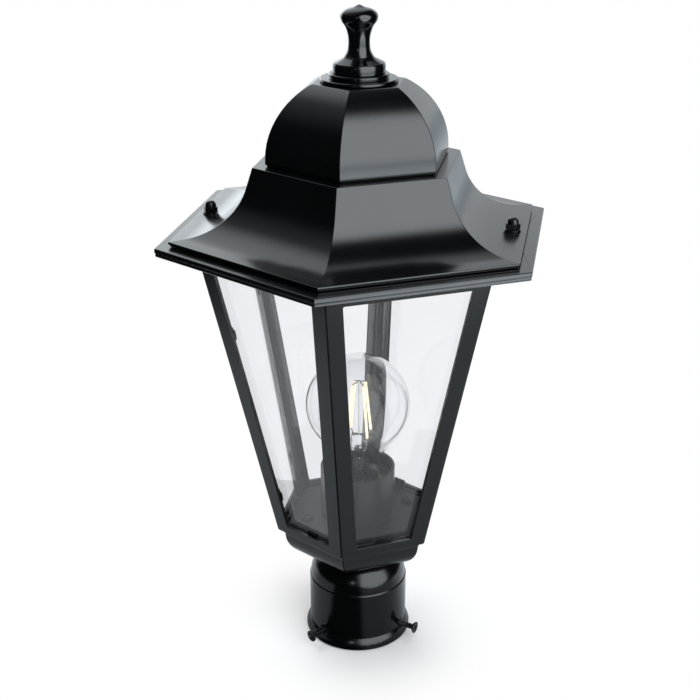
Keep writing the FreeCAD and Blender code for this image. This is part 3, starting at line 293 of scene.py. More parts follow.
def makePaint(name, finish):
    material, tree, shader, place = startMaterial(name)
    toneAndGloss(tree, shader, placeGroup(tree, paintSkin, place, finish["values"]), finish)
    shader.inputs["Specular IOR Level"].default_value = finish["specular"]
    return material


metalFinishes = {
    "platedSteel": {"low": (0.42, 0.43, 0.42), "high": (0.66, 0.67, 0.65), "roughLow": 0.22, "roughHigh": 0.42,
                    "values": {"Stretch": (1.0, 1.0, 0.1), "Scale": 1500.0}},
    "lampCap": {"low": (0.62, 0.62, 0.60), "high": (0.82, 0.82, 0.80), "roughLow": 0.20, "roughHigh": 0.36,
                "values": {"Stretch": (1.0, 1.0, 0.05), "Scale": 1800.0}},
    "bareBrass": {"low": (0.50, 0.36, 0.16), "high": (0.78, 0.60, 0.30), "roughLow": 0.20, "roughHigh": 0.40,
                  "values": {"Stretch": (0.3, 0.3, 1.0), "Scale": 1200.0}},
    "supportWire": {"low": (0.30, 0.27, 0.24), "high": (0.52, 0.48, 0.43), "roughLow": 0.25, "roughHigh": 0.45,
                    "values": {"Stretch": (1.0, 1.0, 0.05), "Scale": 3000.0}},
}
metalBump = {"bump": 0.12, "bumpDistance": 0.0002}


def makeMetal(name, finish):
    material, tree, shader, place = startMaterial(name)
    toneAndGloss(tree, shader, placeGroup(tree, metalGrain, place, finish["values"]), {**finish, **metalBump})
    shader.inputs["Metallic"].default_value = 1.0
    return material


glassFinishes = {
    "paneGlass": {"tint": (0.955, 0.958, 0.975), "smeared": 0.985, "ior": 1.5, "roughHigh": 0.012, "bump": 0.006,
                  "bumpDistance": 0.0004, "shadow": (0.90, 0.91, 0.92)},
    "bulbGlass": {"tint": (0.985, 0.988, 0.995), "smeared": 0.985, "ior": 1.47, "roughHigh": 0.004, "bump": 0.02,
                  "bumpDistance": 0.0004, "shadow": (0.94, 0.94, 0.95)},
}


def makeGlass(name, finish):
    # lamps shine through: shadow rays pass with a light tint
    material, tree, shader, place = startMaterial(name)
    skin = placeGroup(tree, glassSkin, place)
    smeared = tuple(finish["smeared"] * channel for channel in finish["tint"])
    tree.links.new(rampColour(tree, skin["Smear"], [(0.0, finish["tint"]), (1.0, smeared)]),
                   shader.inputs["Base Color"])
    tree.links.new(rangeOf(tree, skin["Smear"], 0.0, finish["roughHigh"]), shader.inputs["Roughness"])
    setInputs(shader, Transmission_Weight=1.0, IOR=finish["ior"])
    bumpFrom(tree, skin["Height"], finish, shader)
    surface = shader.outputs["BSDF"].links[0].to_socket
    clear = tree.nodes.new("ShaderNodeBsdfTransparent")
    setInputs(clear, Color=(*finish["shadow"], 1.0))
    rays = tree.nodes.new("ShaderNodeLightPath")
    mix = mixShaders(tree, rays.outputs["Is Shadow Ray"], shader.outputs["BSDF"], clear.outputs["BSDF"])
    tree.links.new(mix, surface)
    return material


phosphorSet = {"low": (0.98, 0.84, 0.52), "high": (1.0, 0.95, 0.78), "range": (0.2, 0.8), "dieScale": 260.0,
               "waver": 0.6, "roughLow": 0.45, "roughHigh": 0.6, "glow": 0.9, "bump": 0.3, "bumpDistance": 0.0002}


def makePhosphor():
    # LED filaments: a row of dies under cream-yellow phosphor, with a faint painted glow on top
    s = phosphorSet
    material, tree, shader, place = startMaterial("filamentPhosphor")
    bands = addTexture(tree, "ShaderNodeTexWave", "dies along the strip", place, s["dieScale"],
                       Distortion=s["waver"], Detail=1.0)
    bands.wave_type = "BANDS"
    bands.bands_direction = "Z"
    colour = rampColour(tree, bands.outputs["Fac"], [(s["range"][0], s["low"]), (s["range"][1], s["high"])])
    tree.links.new(colour, shader.inputs["Base Color"])
    tree.links.new(rangeOf(tree, bands.outputs["Fac"], s["roughLow"], s["roughHigh"]), shader.inputs["Roughness"])
    # painted glow: the phosphor colour also shines faintly of itself, which brightens the filaments
    tree.links.new(colour, shader.inputs["Emission Color"])
    shader.inputs["Emission Strength"].default_value = s["glow"]
    bumpFrom(tree, bands.outputs["Fac"], s, shader)
    return material


materials = {name: makePaint(name, finish) for name, finish in paintFinishes.items()}
materials.update({name: makeMetal(name, finish) for name, finish in metalFinishes.items()})
materials.update({name: makeGlass(name, finish) for name, finish in glassFinishes.items()})
materials["filamentPhosphor"] = makePhosphor()

slotMaterials = {"black_casting": "blackCasting", "black_holder": "blackHolder", "pane_glass": "paneGlass",
                 "bulb_glass": "bulbGlass", "plated_steel": "platedSteel", "dark_screw": "blackScrew",
                 "cap_nut_steel": "blackScrew", "cap_aluminium": "lampCap", "contact_brass": "bareBrass",
                 "insulator_black": "insulatorGlass", "terminal_plastic": "terminalPlastic",
                 "filament_cream": "filamentPhosphor", "support_wire": "supportWire"}
# pieces with a finish of their own, apart from their slot's
ownFinish = {"fitter": "blackCup", "finial": "blackTurned", "finial_collar": "blackTurned",
             "floor_plate": "blackInside", "floor_screws": "blackInside", "earth_screw": "blackScrew",
             "pane_clips": "blackScrew"}


def finishOf(nodeName):
    return materials[ownFinish.get(nodeName, slotMaterials[slotOf[nodeName]])]


for nodeName, node in nodes.items():
    node.data.materials.clear()
    node.data.materials.append(finishOf(nodeName))
print("materials built:", len(materials))


# small helpers for meshes
copyMerge = 0.002 * mm
spinMerge = 0.001 * mm
shadingWeight = 80


def addPiece(nodeName, ending, shape, sharpAngle=180.0):
    # a finished mesh in the place of a CAD node
    mesh = bpy.data.meshes.new(nodeName + ending)
    shape.to_mesh(mesh)
    shape.free()
    mesh.materials.append(finishOf(nodeName))
    mesh.polygons.foreach_set("use_smooth", [True] * len(mesh.polygons))
    mesh.set_sharp_from_angle(angle=math.radians(sharpAngle))
    piece = bpy.data.objects.new(nodeName + ending, mesh)
    bpy.context.scene.collection.objects.link(piece)
    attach(piece, bodyOf[nodeName])
    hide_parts(nodeName)
    return piece


def evenShading(piece):
    weighted = piece.modifiers.new("even shading", "WEIGHTED_NORMAL")
    weighted.keep_sharp = False
    weighted.weight = shadingWeight


def softenEdges(piece, width, segments=2, limit=30.0):
    bevel = piece.modifiers.new("edge round", "BEVEL")
    bevel.width = width
    bevel.segments = segments
    bevel.limit_method = "ANGLE"
    bevel.angle_limit = math.radians(limit)
    bevel.miter_outer = "MITER_ARC"
    evenShading(piece)


def softCopy(nodeName, width, limit=30.0):
    # the CAD piece again, merged, with its edges rounded as paint rounds them
    shape = bmesh.new()
    shape.from_mesh(nodes[nodeName].data)
    bmesh.ops.remove_doubles(shape, verts=shape.verts, dist=copyMerge)
    softenEdges(addPiece(nodeName, "_painted", shape), width, limit=limit)


def addRing(shape, corners, closed=True):
    # vertices and edges through the corners
    points = [shape.verts.new(corner) for corner in corners]
    following = points[1:] + points[:1] if closed else points[1:]
    return points, [shape.edges.new(pair) for pair in zip(points, following)]


def addBlock(shape, firstCorners, secondCorners):
    # a closed block between two ends
    ends = [addRing(shape, corners)[1] for corners in (firstCorners, secondCorners)]
    faces = bmesh.ops.bridge_loops(shape, edges=ends[0] + ends[1])["faces"]
    for end in ends:
        faces += bmesh.ops.edgeloop_fill(shape, edges=end)["faces"]
    bmesh.ops.recalc_face_normals(shape, faces=faces)


def roundEdges(shape, edges, width, segments=2):
    bmesh.ops.bevel(shape, geom=edges, offset=width, offset_type="OFFSET", segments=segments, profile=0.5,
                    affect="EDGES", clamp_overlap=True, material=-1)


def spinOutline(points, steps, closed=False, startAngle=0.0):
    # points are (radius, height) in mm; they are spun once round the lantern's axis
    shape = bmesh.new()
    turn = Matrix.Rotation(startAngle, 3, "Z")
    corners, edges = addRing(shape, [turn @ Vector((radius * mm, 0.0, height * mm)) for radius, height in points],
                             closed)
    bmesh.ops.spin(shape, geom=corners + edges, cent=(0, 0, 0), axis=(0, 0, 1), angle=2 * math.pi,
                   steps=steps, use_merge=True, use_duplicate=False)
    bmesh.ops.remove_doubles(shape, verts=shape.verts, dist=spinMerge)
    bmesh.ops.recalc_face_normals(shape, faces=shape.faces)
    return shape


def addDisc(shape, radius, low, high, x, y, steps=32):
    disc = bmesh.ops.create_cone(shape, cap_ends=True, segments=steps, radius1=radius * mm, radius2=radius * mm,
                                 depth=(high - low) * mm)
    bmesh.ops.translate(shape, verts=disc["verts"], vec=(x * mm, y * mm, (low + high) / 2 * mm))


# curves of a section; points are (across, height)
def arcThrough(start, middle, end, count):
    # points on the circle through three points, without the first
    ax, az = start
    bx, bz = middle
    cx, cz = end
    d = 2 * (ax * (bz - cz) + bx * (cz - az) + cx * (az - bz))
    ux = ((ax * ax + az * az) * (bz - cz) + (bx * bx + bz * bz) * (cz - az) + (cx * cx + cz * cz) * (az - bz)) / d
    uz = ((ax * ax + az * az) * (cx - bx) + (bx * bx + bz * bz) * (ax - cx) + (cx * cx + cz * cz) * (bx - ax)) / d
    radius = math.hypot(ax - ux, az - uz)
    angles = [math.atan2(z - uz, x - ux) for x, z in (start, middle, end)]
    for index in (1, 2):
        while angles[index] - angles[index - 1] > math.pi:
            angles[index] -= 2 * math.pi
        while angles[index] - angles[index - 1] < -math.pi:
            angles[index] += 2 * math.pi
    sweep = angles[2] - angles[0]
    return [(ux + radius * math.cos(angles[0] + sweep * step / count),
             uz + radius * math.sin(angles[0] + sweep * step / count)) for step in range(1, count + 1)]


def crossing(pointA, directionA, pointB, directionB):
    # where two lines cross
    across = directionA.x * directionB.y - directionA.y * directionB.x
    offset = pointB - pointA
    return pointA + directionA * ((offset.x * directionB.y - offset.y * directionB.x) / across)


def filletPoints(start, corner, end, radius, count):
    # a tangent round in place of a corner
    into = (start - corner).normalized()
    out = (end - corner).normalized()
    half = into.angle(out) / 2
    centre = corner + (into + out).normalized() * (radius / math.sin(half))
    first = corner + into * (radius / math.tan(half)) - centre
    last = corner + out * (radius / math.tan(half)) - centre
    sweep = first.angle(last)
    points = []
    for step in range(count + 1):
        share = step / count
        ray = (first * math.sin((1 - share) * sweep) + last * math.sin(share * sweep)) / math.sin(sweep)
        points.append(centre + ray)
    return points


def centreArc(centre, radius, fromDegrees, toDegrees, count):
    points = []
    for step in range(count + 1):
        angle = math.radians(fromDegrees + (toDegrees - fromDegrees) * step / count)
        points.append(centre + Vector((math.cos(angle), math.sin(angle))) * radius)
    return points


def smoothThrough(keys, count):
    # an even curve through the keys, without the first
    points = []
    padded = [keys[0]] + keys + [keys[-1]]
    for before, start, end, after in zip(padded, padded[1:], padded[2:], padded[3:]):
        leave = (end - before) / 2
        arrive = (after - start) / 2
        for step in range(1, count + 1):
            t = step / count
            points.append(start * (2 * t ** 3 - 3 * t * t + 1) + leave * (t ** 3 - 2 * t * t + t)
                          + end * (3 * t * t - 2 * t ** 3) + arrive * (t ** 3 - t * t))
    return points


# painted castings
creaseLimit = {"flat": 20.0, "hip": 0.6, "sameRay": 0.001}


def roundCreases(shape, width):
    # corners of the section and the six hips; the steps of an arc stay smooth
    creases = []
    for edge in shape.edges:
        ends = [Vector((vertex.co.x, vertex.co.y)) for vertex in edge.verts]
        hip = min(end.length for end in ends) > mm and ends[0].angle(ends[1]) < creaseLimit["sameRay"]
        limit = math.radians(creaseLimit["hip" if hip else "flat"])
        if len(edge.link_faces) == 2 and edge.calc_face_angle() > limit:
            creases.append(edge)
    roundEdges(shape, creases, width)


def sixSided(section, width):
    # section points are (apothem, height) of a closed wall, carried round the hexagon
    shape = spinOutline([(point.x / cosHex, point.y) for point in section], 6, closed=True, startAngle=hexHalf)
    roundCreases(shape, width)
    return shape


def addCasting(nodeName, shape):
    evenShading(addPiece(nodeName, "_painted", shape))


skirtSet = {"wall": 2.5, "lipHeight": 2.5, "lipStep": 0.8, "lipSlope": 3.5, "stepShare": 0.45, "rimApothem": 52.1,
            "rimDraft": 16.5, "round": 34.5, "throat": 38.0, "padRadius": 4.6, "padRise": 0.15, "padThick": 1.5,
            "padPlace": 85.4, "edge": 0.3, "arcSteps": 28}


def makeSkirt():
    s = skirtSet
    low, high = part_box("roof_skirt")
    foot = low.z / mm
    ledge = high.z / mm
    lipApothem = high.x / mm
    lipTop = foot + s["lipHeight"]
    draft = math.radians(s["rimDraft"])
    slope = math.radians(s["lipSlope"])
    down = Vector((math.sin(draft), -math.cos(draft)))
    inward = Vector((-math.cos(slope), math.sin(slope)))
    rim = Vector((s["rimApothem"], ledge))
    lip = Vector((lipApothem, lipTop))
    rimIn = rim + Vector((-math.cos(draft), -math.sin(draft))) * s["wall"]
    lipIn = lip + Vector((-math.sin(slope), -math.cos(slope))) * s["wall"]
    rimUnder = crossing(rimIn, down, Vector((0, ledge - s["wall"])), Vector((1, 0)))
    lipUnder = crossing(lipIn, inward, Vector((lipApothem - s["lipStep"], 0)), Vector((0, 1)))
    stepHeight = foot + s["lipHeight"] * s["stepShare"]
    section = [Vector((s["throat"], ledge)), rim]
    section += filletPoints(rim, crossing(rim, down, lip, inward), lip, s["round"], s["arcSteps"])
    section += [lip, Vector((lipApothem, stepHeight)), Vector((lipApothem - s["lipStep"], stepHeight)), lipUnder]
    section += filletPoints(lipUnder, crossing(rimIn, down, lipIn, inward), rimUnder, s["round"] + s["wall"],
                            s["arcSteps"])
    section += [rimUnder, Vector((s["throat"], ledge - s["wall"]))]
    shape = sixSided(section, s["edge"] * mm)
    padTop = lipTop + math.tan(slope) * (lipApothem - s["padPlace"]) + s["padRise"]
    for hand in (-1, 1):
        addDisc(shape, s["padRadius"], padTop - s["padThick"], padTop, hand * s["padPlace"], 0.0)
    addCasting("roof_skirt", shape)


makeSkirt()
print("roof skirt made")


cupolaSet = {"wall": 2.5, "spigotDrop": 2.0, "spigotWall": 2.3, "spigotGap": 0.3, "throat": 38.0, "band": 3.1,
             "radius": 44.7, "grooveHeight": 0.9, "grooveDepth": 0.8, "flange": 2.5, "hole": 3.2, "edge": 0.4,
             "arcSteps": 28}


def makeCupola():
    s = cupolaSet
    low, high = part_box("cupola")
    foot = low.z / mm + s["spigotDrop"]
    top = high.z / mm
    apothem = high.x / mm
    centre = Vector((apothem - s["radius"], foot + s["band"]))
    inner = s["radius"] - s["wall"]
    topAngle = math.degrees(math.asin((top - centre.y) / s["radius"]))
    innerAngle = math.degrees(math.asin((top - s["wall"] - centre.y) / inner))
    spigotOut = s["throat"] - s["spigotGap"]
    spigotIn = spigotOut - s["spigotWall"]
    section = [Vector((spigotOut, foot)), Vector((apothem - s["grooveDepth"], foot)),
               Vector((apothem - s["grooveDepth"], foot + s["grooveHeight"])),
               Vector((apothem, foot + s["grooveHeight"]))]
    section += centreArc(centre, s["radius"], 0.0, topAngle, s["arcSteps"])
    section += [Vector((s["hole"], top)), Vector((s["hole"], top - s["wall"]))]
    section += centreArc(centre, inner, innerAngle, 0.0, s["arcSteps"])
    section += [Vector((apothem - s["wall"], foot + s["flange"])), Vector((spigotIn, foot + s["flange"])),
                Vector((spigotIn, foot - s["spigotDrop"])), Vector((spigotOut, foot - s["spigotDrop"]))]
    addCasting("cupola", sixSided(section, s["edge"] * mm))


makeCupola()
print("cupola made")


bowlSet = {"wall": 2.5, "sideHeight": 13.1, "sideRadius": 16.1, "sideApothem": 40.45, "flange": 5.6, "hole": 5.15,
           "pillarRadius": 4.0, "pillarPlace": 31.5, "pillarAngles": (30.0, 210.0), "edge": 0.5, "arcSteps": 20}


def makeBowl():
    s = bowlSet
    low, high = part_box("base_bowl")
    bottom = low.z / mm
    pillarTop = high.z / mm
    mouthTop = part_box("side_frame_1")[0].z / mm
    mouth = high.x / mm
    sideTop = bottom + s["sideHeight"]
    centre = Vector((s["sideApothem"] - s["sideRadius"], sideTop))
    inner = s["sideRadius"] - s["wall"]
    footAngle = math.degrees(math.asin(s["sideHeight"] / s["sideRadius"]))
    innerAngle = math.degrees(math.asin((s["sideHeight"] - s["wall"]) / inner))
    section = [Vector((s["hole"], bottom))] + centreArc(centre, s["sideRadius"], -footAngle, 0.0, s["arcSteps"])
    section += [Vector((mouth, mouthTop)), Vector((mouth - s["flange"], mouthTop)),
                Vector((mouth - s["flange"], mouthTop - s["wall"])),
                Vector((s["sideApothem"] - s["wall"], mouthTop - s["wall"]))]
    section += centreArc(centre, inner, 0.0, -innerAngle, s["arcSteps"])
    section += [Vector((s["hole"], bottom + s["wall"]))]
    shape = sixSided(section, s["edge"] * mm)
    for degrees in s["pillarAngles"]:
        angle = math.radians(degrees)
        addDisc(shape, s["pillarRadius"], bottom + s["wall"] / 2, pillarTop, s["pillarPlace"] * math.cos(angle),
                s["pillarPlace"] * math.sin(angle))
    addCasting("base_bowl", shape)


makeBowl()
print("bowl made")


frameSet = {"bottomApothem": 44.4, "topApothem": 80.1, "face": 2.2, "depth": 6.4, "stile": 9.4, "bottomRail": 5.4,
            "topRail": 10.1, "corner": 1.0, "mitreGap": 0.3, "mitreRound": 0.5, "foot": 3.5, "footThick": 2.8,
            "footLap": 1.0, "glassLap": 3.5, "glassBottomLap": 2.4, "glassTopLap": 6.0, "edge": 0.22,
            "sharp": 50.0, "lipBack": 6.25, "lipThick": 1.2, "lipHigh": 5.0, "lipSink": 0.2}


def sideTurn(index):
    # from the first of the six sides to another
    return Matrix.Rotation(math.radians(60.0 * index), 3, "Z")


def frameLean(nodeName):
    # a side frame's foot and head in mm, its lean for each mm of height, and what that makes of its depth
    low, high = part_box(nodeName)
    zLow = low.z / mm
    zHigh = high.z / mm
    rise = (frameSet["topApothem"] - frameSet["bottomApothem"]) / (zHigh - zLow)
    return zLow, zHigh, rise, math.sqrt(1 + rise * rise)


def makeSideFrame(index):
    s = frameSet
    nodeName = "side_frame_%d" % (index + 1)
    zLow, zHigh, rise, acrossTilt = frameLean(nodeName)

    def apothem(z):
        return s["bottomApothem"] + rise * (z - zLow)

    def loop(depth, bottom, top, halfWidth):
        corners = []
        for z, hand in ((bottom, -1), (bottom, 1), (top, 1), (top, -1)):
            across = apothem(z) - depth * acrossTilt
            corners.append(Vector((across, hand * halfWidth(z, across), z)) * mm)
        return corners

    def outer(z, across):
        return (across - s["mitreGap"]) * tanHex

    def window(z, across):
        return apothem(z) * tanHex - s["stile"]

    def pocket(z, across):
        return window(z, across) + s["glassLap"]

    windowLow = zLow + s["bottomRail"]
    windowHigh = zHigh - s["topRail"]
    pocketLow = windowLow - s["glassBottomLap"]
    pocketHigh = windowHigh + s["glassTopLap"]
    loops = [loop(0.0, zLow, zHigh, outer), loop(0.0, windowLow, windowHigh, window),
             loop(s["face"], windowLow, windowHigh, window), loop(s["face"], pocketLow, pocketHigh, pocket),
             loop(s["depth"], pocketLow, pocketHigh, pocket), loop(s["depth"], zLow, zHigh, outer)]
    shape = bmesh.new()
    rings = [[shape.verts.new(corner) for corner in corners] for corners in loops]
    for first, second in zip(rings, rings[1:] + rings[:1]):
        for step in range(4):
            following = (step + 1) % 4
            shape.faces.new((first[step], first[following], second[following], second[step]))
    bmesh.ops.recalc_face_normals(shape, faces=shape.faces)
    front, opening, behind = rings[:3]
    reveal = [shape.edges.get(pair) for pair in zip(opening, behind)]
    mitres = [shape.edges.get((front[1], front[2])), shape.edges.get((front[3], front[0]))]
    roundEdges(shape, reveal, s["corner"] * mm, 3)
    roundEdges(shape, [edge for edge in mitres if edge.is_valid], s["mitreRound"] * mm)
    sharp = [edge for edge in shape.edges if edge.calc_face_angle(0.0) > math.radians(s["sharp"])]
    roundEdges(shape, sharp, s["edge"] * mm)

    def ledge(levels, inside, outside):
        plans = []
        for z in levels:
            places = ((inside, -1), (outside, -1), (outside, 1), (inside, 1))
            plans.append([Vector((across, hand * outer(z, across), z)) * mm for across, hand in places])
        addBlock(shape, *plans)

    # the tongue behind the bottom rail, held under the floor plate, and a low lip that keeps the glass in
    back = s["bottomApothem"] - s["depth"] * acrossTilt
    ledge((zLow, zLow + s["footThick"]), back - s["foot"], back + s["footLap"])
    lip = s["bottomApothem"] - s["lipBack"]
    ledge((zLow + s["footThick"] - s["lipSink"], zLow + s["lipHigh"]), lip, lip + s["lipThick"])
    bmesh.ops.rotate(shape, verts=shape.verts, cent=(0, 0, 0), matrix=sideTurn(index))
    addCasting(nodeName, shape)


for index in range(6):
    makeSideFrame(index)
print("side frames made")


# plain CAD pieces with rounded edges; on the flat plates only the square edges
softEdgeSet = {"eave_ring": 0.3, "floor_plate": 0.25, "holder_sleeve": 0.25, "lamp_socket": 0.2, "bridge_bar": 0.2,
               "stem_nipple": 0.2, "nipple_nuts": 0.2, "rod_nut": 0.2, "tie_rod": 0.2, "fitter": 0.3}
squareEdgeSet = {"eave_ring": 50.0, "floor_plate": 50.0}
for nodeName, width in softEdgeSet.items():
    softCopy(nodeName, width * mm, squareEdgeSet.get(nodeName, 30.0))
print("plain pieces softened")


finialSet = {"baseRadius": 14.2, "waistRadius": 5.8, "knobRadius": 10.1, "tipRadius": 2.4, "rodHole": 3.05,
             "edge": 0.4, "curveSteps": 6, "steps": 96, "sharp": 40.0, "collarEdge": 0.25}
# which radius, times what, at which share of the height
finialFlare = [("baseRadius", 1.0, 0.117), ("baseRadius", 0.965, 0.151), ("baseRadius", 0.88, 0.168),
               ("baseRadius", 0.62, 0.221), ("waistRadius", 1.25, 0.275), ("waistRadius", 1.05, 0.35),
               ("waistRadius", 1.0, 0.455), ("waistRadius", 1.06, 0.56), ("knobRadius", 0.745, 0.68),
               ("knobRadius", 0.93, 0.755), ("knobRadius", 1.0, 0.825), ("knobRadius", 0.93, 0.88),
               ("knobRadius", 0.7, 0.93), ("tipRadius", 1.25, 0.962)]
finialTip = [("tipRadius", 0.3, 0.994), ("tipRadius", 0.0, 1.0)]


def makeFinial():
    s = finialSet
    low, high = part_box("finial")
    base = low.z / mm
    tall = (high.z - low.z) / mm
    flare, tip = [[Vector((s[name] * factor, base + tall * share)) for name, factor, share in keys]
                  for keys in (finialFlare, finialTip)]
    outline = [Vector((s["rodHole"], base)), Vector((s["baseRadius"] - s["edge"], base)),
               Vector((s["baseRadius"], base + s["edge"])), flare[0]]
    outline += smoothThrough(flare, s["curveSteps"]) + tip
    addPiece("finial", "_turned", spinOutline(outline, s["steps"]), s["sharp"])


makeFinial()
softCopy("finial_collar", finialSet["collarEdge"] * mm)
print("finial turned")


clipSet = {"heights": (21.0, 128.0), "length": 6.0, "thick": 0.8, "lap": 0.45, "seat": 1.1, "nib": 0.45,
           "glassBack": 5.35, "rise": 0.1, "edge": 0.12, "sharp": 30.0}


def makeClips():
    # flat springs on the frames' back edges, each with a nib on the glass
    s = clipSet
    f = frameSet
    zLow, zHigh, rise, acrossTilt = frameLean("side_frame_1")
    front = f["depth"] + s["rise"]
    shape = bmesh.new()

    def block(z, yLow, yHigh, depths, hand, turn):
        ends = []
        for depth in depths:
            end = []
            for height, y in ((z, yLow), (z, yHigh), (z + s["length"], yHigh), (z + s["length"], yLow)):
                across = f["bottomApothem"] + rise * (height - zLow) - depth * acrossTilt
                end.append(turn @ Vector((across, hand * y, height)) * mm)
            ends.append(end)
        addBlock(shape, *ends)

    for index in range(6):
        turn = sideTurn(index)
        for height in s["heights"]:
            z = zLow + height
            glassEdge = (f["bottomApothem"] + rise * height) * tanHex - f["stile"] + f["glassLap"]
            inner = glassEdge - s["lap"]
            for hand in (-1, 1):
                block(z, inner, glassEdge + s["seat"], (front, front + s["thick"]), hand, turn)
                block(z, inner, inner + s["nib"], (s["glassBack"], front + s["thick"] / 2), hand, turn)
    softenEdges(addPiece("pane_clips", "_sprung", shape, s["sharp"]), s["edge"] * mm)


makeClips()
print("glass clips made")


nutSet = {"flats": 7.0, "hexHeight": 2.9, "hexLap": 0.05, "domeRadius": 3.1, "chamfer": 0.1, "crownRadius": 3.3,
          "crownShare": 0.72, "crownDrop": 0.62, "boreRadius": 2.05, "boreDepth": 4.6, "steps": 40, "arcSteps": 8,
          "sharp": 35.0, "edge": 0.3, "edgeSteps": 3, "edgeLimit": 40.0}


def makeCapNut(nodeName):
    s = nutSet
    low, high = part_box(nodeName)
    foot = low.z / mm
    top = high.z / mm
    bore = s["boreRadius"]
    dome = s["domeRadius"]
    crownFoot = top - s["crownRadius"] + math.sqrt(s["crownRadius"] ** 2 - dome ** 2)
    outline = [(0.0, foot + s["boreDepth"]), (bore, foot + s["boreDepth"]), (bore, foot),
               (dome - s["chamfer"], foot), (dome, foot + s["chamfer"]), (dome, crownFoot)]
    outline += arcThrough((dome, crownFoot), (dome * s["crownShare"], top - s["crownDrop"]), (0.0, top),
                          s["arcSteps"])
    shape = spinOutline(outline, s["steps"])
    # the hexagon round the dome's foot
    inner = dome - s["hexLap"]
    outer = s["flats"] / 2 / cosHex
    hexTop = foot + s["hexHeight"]
    hexagon = spinOutline([(inner, foot), (outer, foot), (outer, hexTop), (inner, hexTop)], 6, closed=True)
    carrier = bpy.data.meshes.new("capNutHex")
    hexagon.to_mesh(carrier)
    hexagon.free()
    shape.from_mesh(carrier)
    bpy.data.meshes.remove(carrier)
    centre = Vector(((low.x + high.x) / 2, (low.y + high.y) / 2, 0.0))
    bmesh.ops.translate(shape, verts=shape.verts, vec=centre)
    softenEdges(addPiece(nodeName, "_painted", shape, s["sharp"]), s["edge"] * mm, s["edgeSteps"], s["edgeLimit"])


for side in ("left", "right"):
    makeCapNut("cap_nut_" + side)
print("cap nuts made")


screwSet = {"length": 13.1, "shankRadius": 1.75, "rootRadius": 1.42, "tipHeight": 0.35, "tipShare": 0.8,
            "pitch": 0.7, "crestFrom": 0.42, "crestTo": 0.55, "rootFrom": 0.97, "runOut": 0.3, "headRadius": 3.6,
            "headCone": 2.1, "headRim": 0.5, "rimRound": 0.12, "coneRound": 0.1, "faceRound": 0.14, "recess": 2.1,
            "recessWidth": 0.9, "recessDepth": 1.3, "recessLap": 0.25, "recessTaper": 0.72,
            "steps": 40, "sharp": 28.0}


def makeClampScrew(index):
    # turned along +Z with the tip at zero, then laid along its own direction
    s = screwSet
    nodeName = "clamp_screw_%d" % index
    joint = [entry for entry in frame["joints"] if entry["child"] == bodyOf[nodeName]][0]
    outward = -Vector(joint["axis"])
    low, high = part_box(nodeName)
    reach = max(vertex.co.dot(outward) for vertex in nodes[nodeName].data.vertices)
    start = reach - s["length"] * mm
    top = s["length"]
    root = s["rootRadius"]
    head = s["headRadius"]
    rimFoot = top - s["headRim"]
    coneFoot = top - s["headCone"] - s["headRim"]
    points = [(0.0, 0.0), (root * s["tipShare"], 0.0), (root, s["tipHeight"])]
    z = s["tipHeight"]
    while z + s["pitch"] < coneFoot - s["runOut"]:
        points += [(s["shankRadius"], z + s["pitch"] * s["crestFrom"]),
                   (s["shankRadius"], z + s["pitch"] * s["crestTo"]), (root, z + s["pitch"] * s["rootFrom"])]
        z += s["pitch"]
    points += [(root, coneFoot), (head - s["rimRound"], rimFoot - s["coneRound"]), (head, rimFoot),
               (head, top - s["rimRound"]), (head - s["faceRound"], top), (s["recess"] + s["recessLap"], top)]
    shape = spinOutline(points, s["steps"])
    # the driving cross: a plus-shaped pit pushed into the face
    rim = [edge for edge in shape.edges if edge.is_boundary]
    half = s["recessWidth"] / 2
    arm = s["recess"]
    plus = [(arm, -half), (arm, half), (half, half), (half, arm), (-half, arm), (-half, half), (-arm, half),
            (-arm, -half), (-half, -half), (-half, -arm), (half, -arm), (half, -half)]
    cross = addRing(shape, [Vector((x, y, top)) * mm for x, y in plus])[1]
    bmesh.ops.triangle_fill(shape, edges=rim + cross, use_beauty=True, use_dissolve=False,
                            normal=Vector((0, 0, 1)))
    pit = bmesh.ops.extrude_edge_only(shape, edges=cross)["geom"]
    pitVerts = [item for item in pit if isinstance(item, bmesh.types.BMVert)]
    bmesh.ops.translate(shape, verts=pitVerts, vec=(0, 0, -s["recessDepth"] * mm))
    bmesh.ops.scale(shape, verts=pitVerts, vec=(s["recessTaper"], s["recessTaper"], 1.0))
    pitFloor = [item for item in pit if isinstance(item, bmesh.types.BMEdge)
                and all(vertex in pitVerts for vertex in item.verts)]
    bmesh.ops.edgeloop_fill(shape, edges=pitFloor)
    bmesh.ops.recalc_face_normals(shape, faces=shape.faces)
    turn = Vector((0, 0, 1)).rotation_difference(outward).to_matrix()
    bmesh.ops.rotate(shape, verts=shape.verts, cent=(0, 0, 0), matrix=turn)
    bmesh.ops.translate(shape, verts=shape.verts, vec=outward * start + Vector((0, 0, (low.z + high.z) / 2)))
    addPiece(nodeName, "_turned", shape, s["sharp"])


for index in (1, 2, 3):
    makeClampScrew(index)
print("clamp screws made")


studio = {"floorSize": 40.0, "floorDrop": 0.0002, "paper": (0.97, 0.945, 0.93), "whiteFrom": 0.028,
          "whiteTo": 0.10, "mirrorHeight": 0.3}
cameraSet = {"place": (0.1227, -0.6561, 0.4727), "look": (-0.1736, 0.9032, -0.3925), "lens": 64.25,
             "sensor": 36.0, "shiftX": -0.0038, "near": 0.01, "far": 100.0}
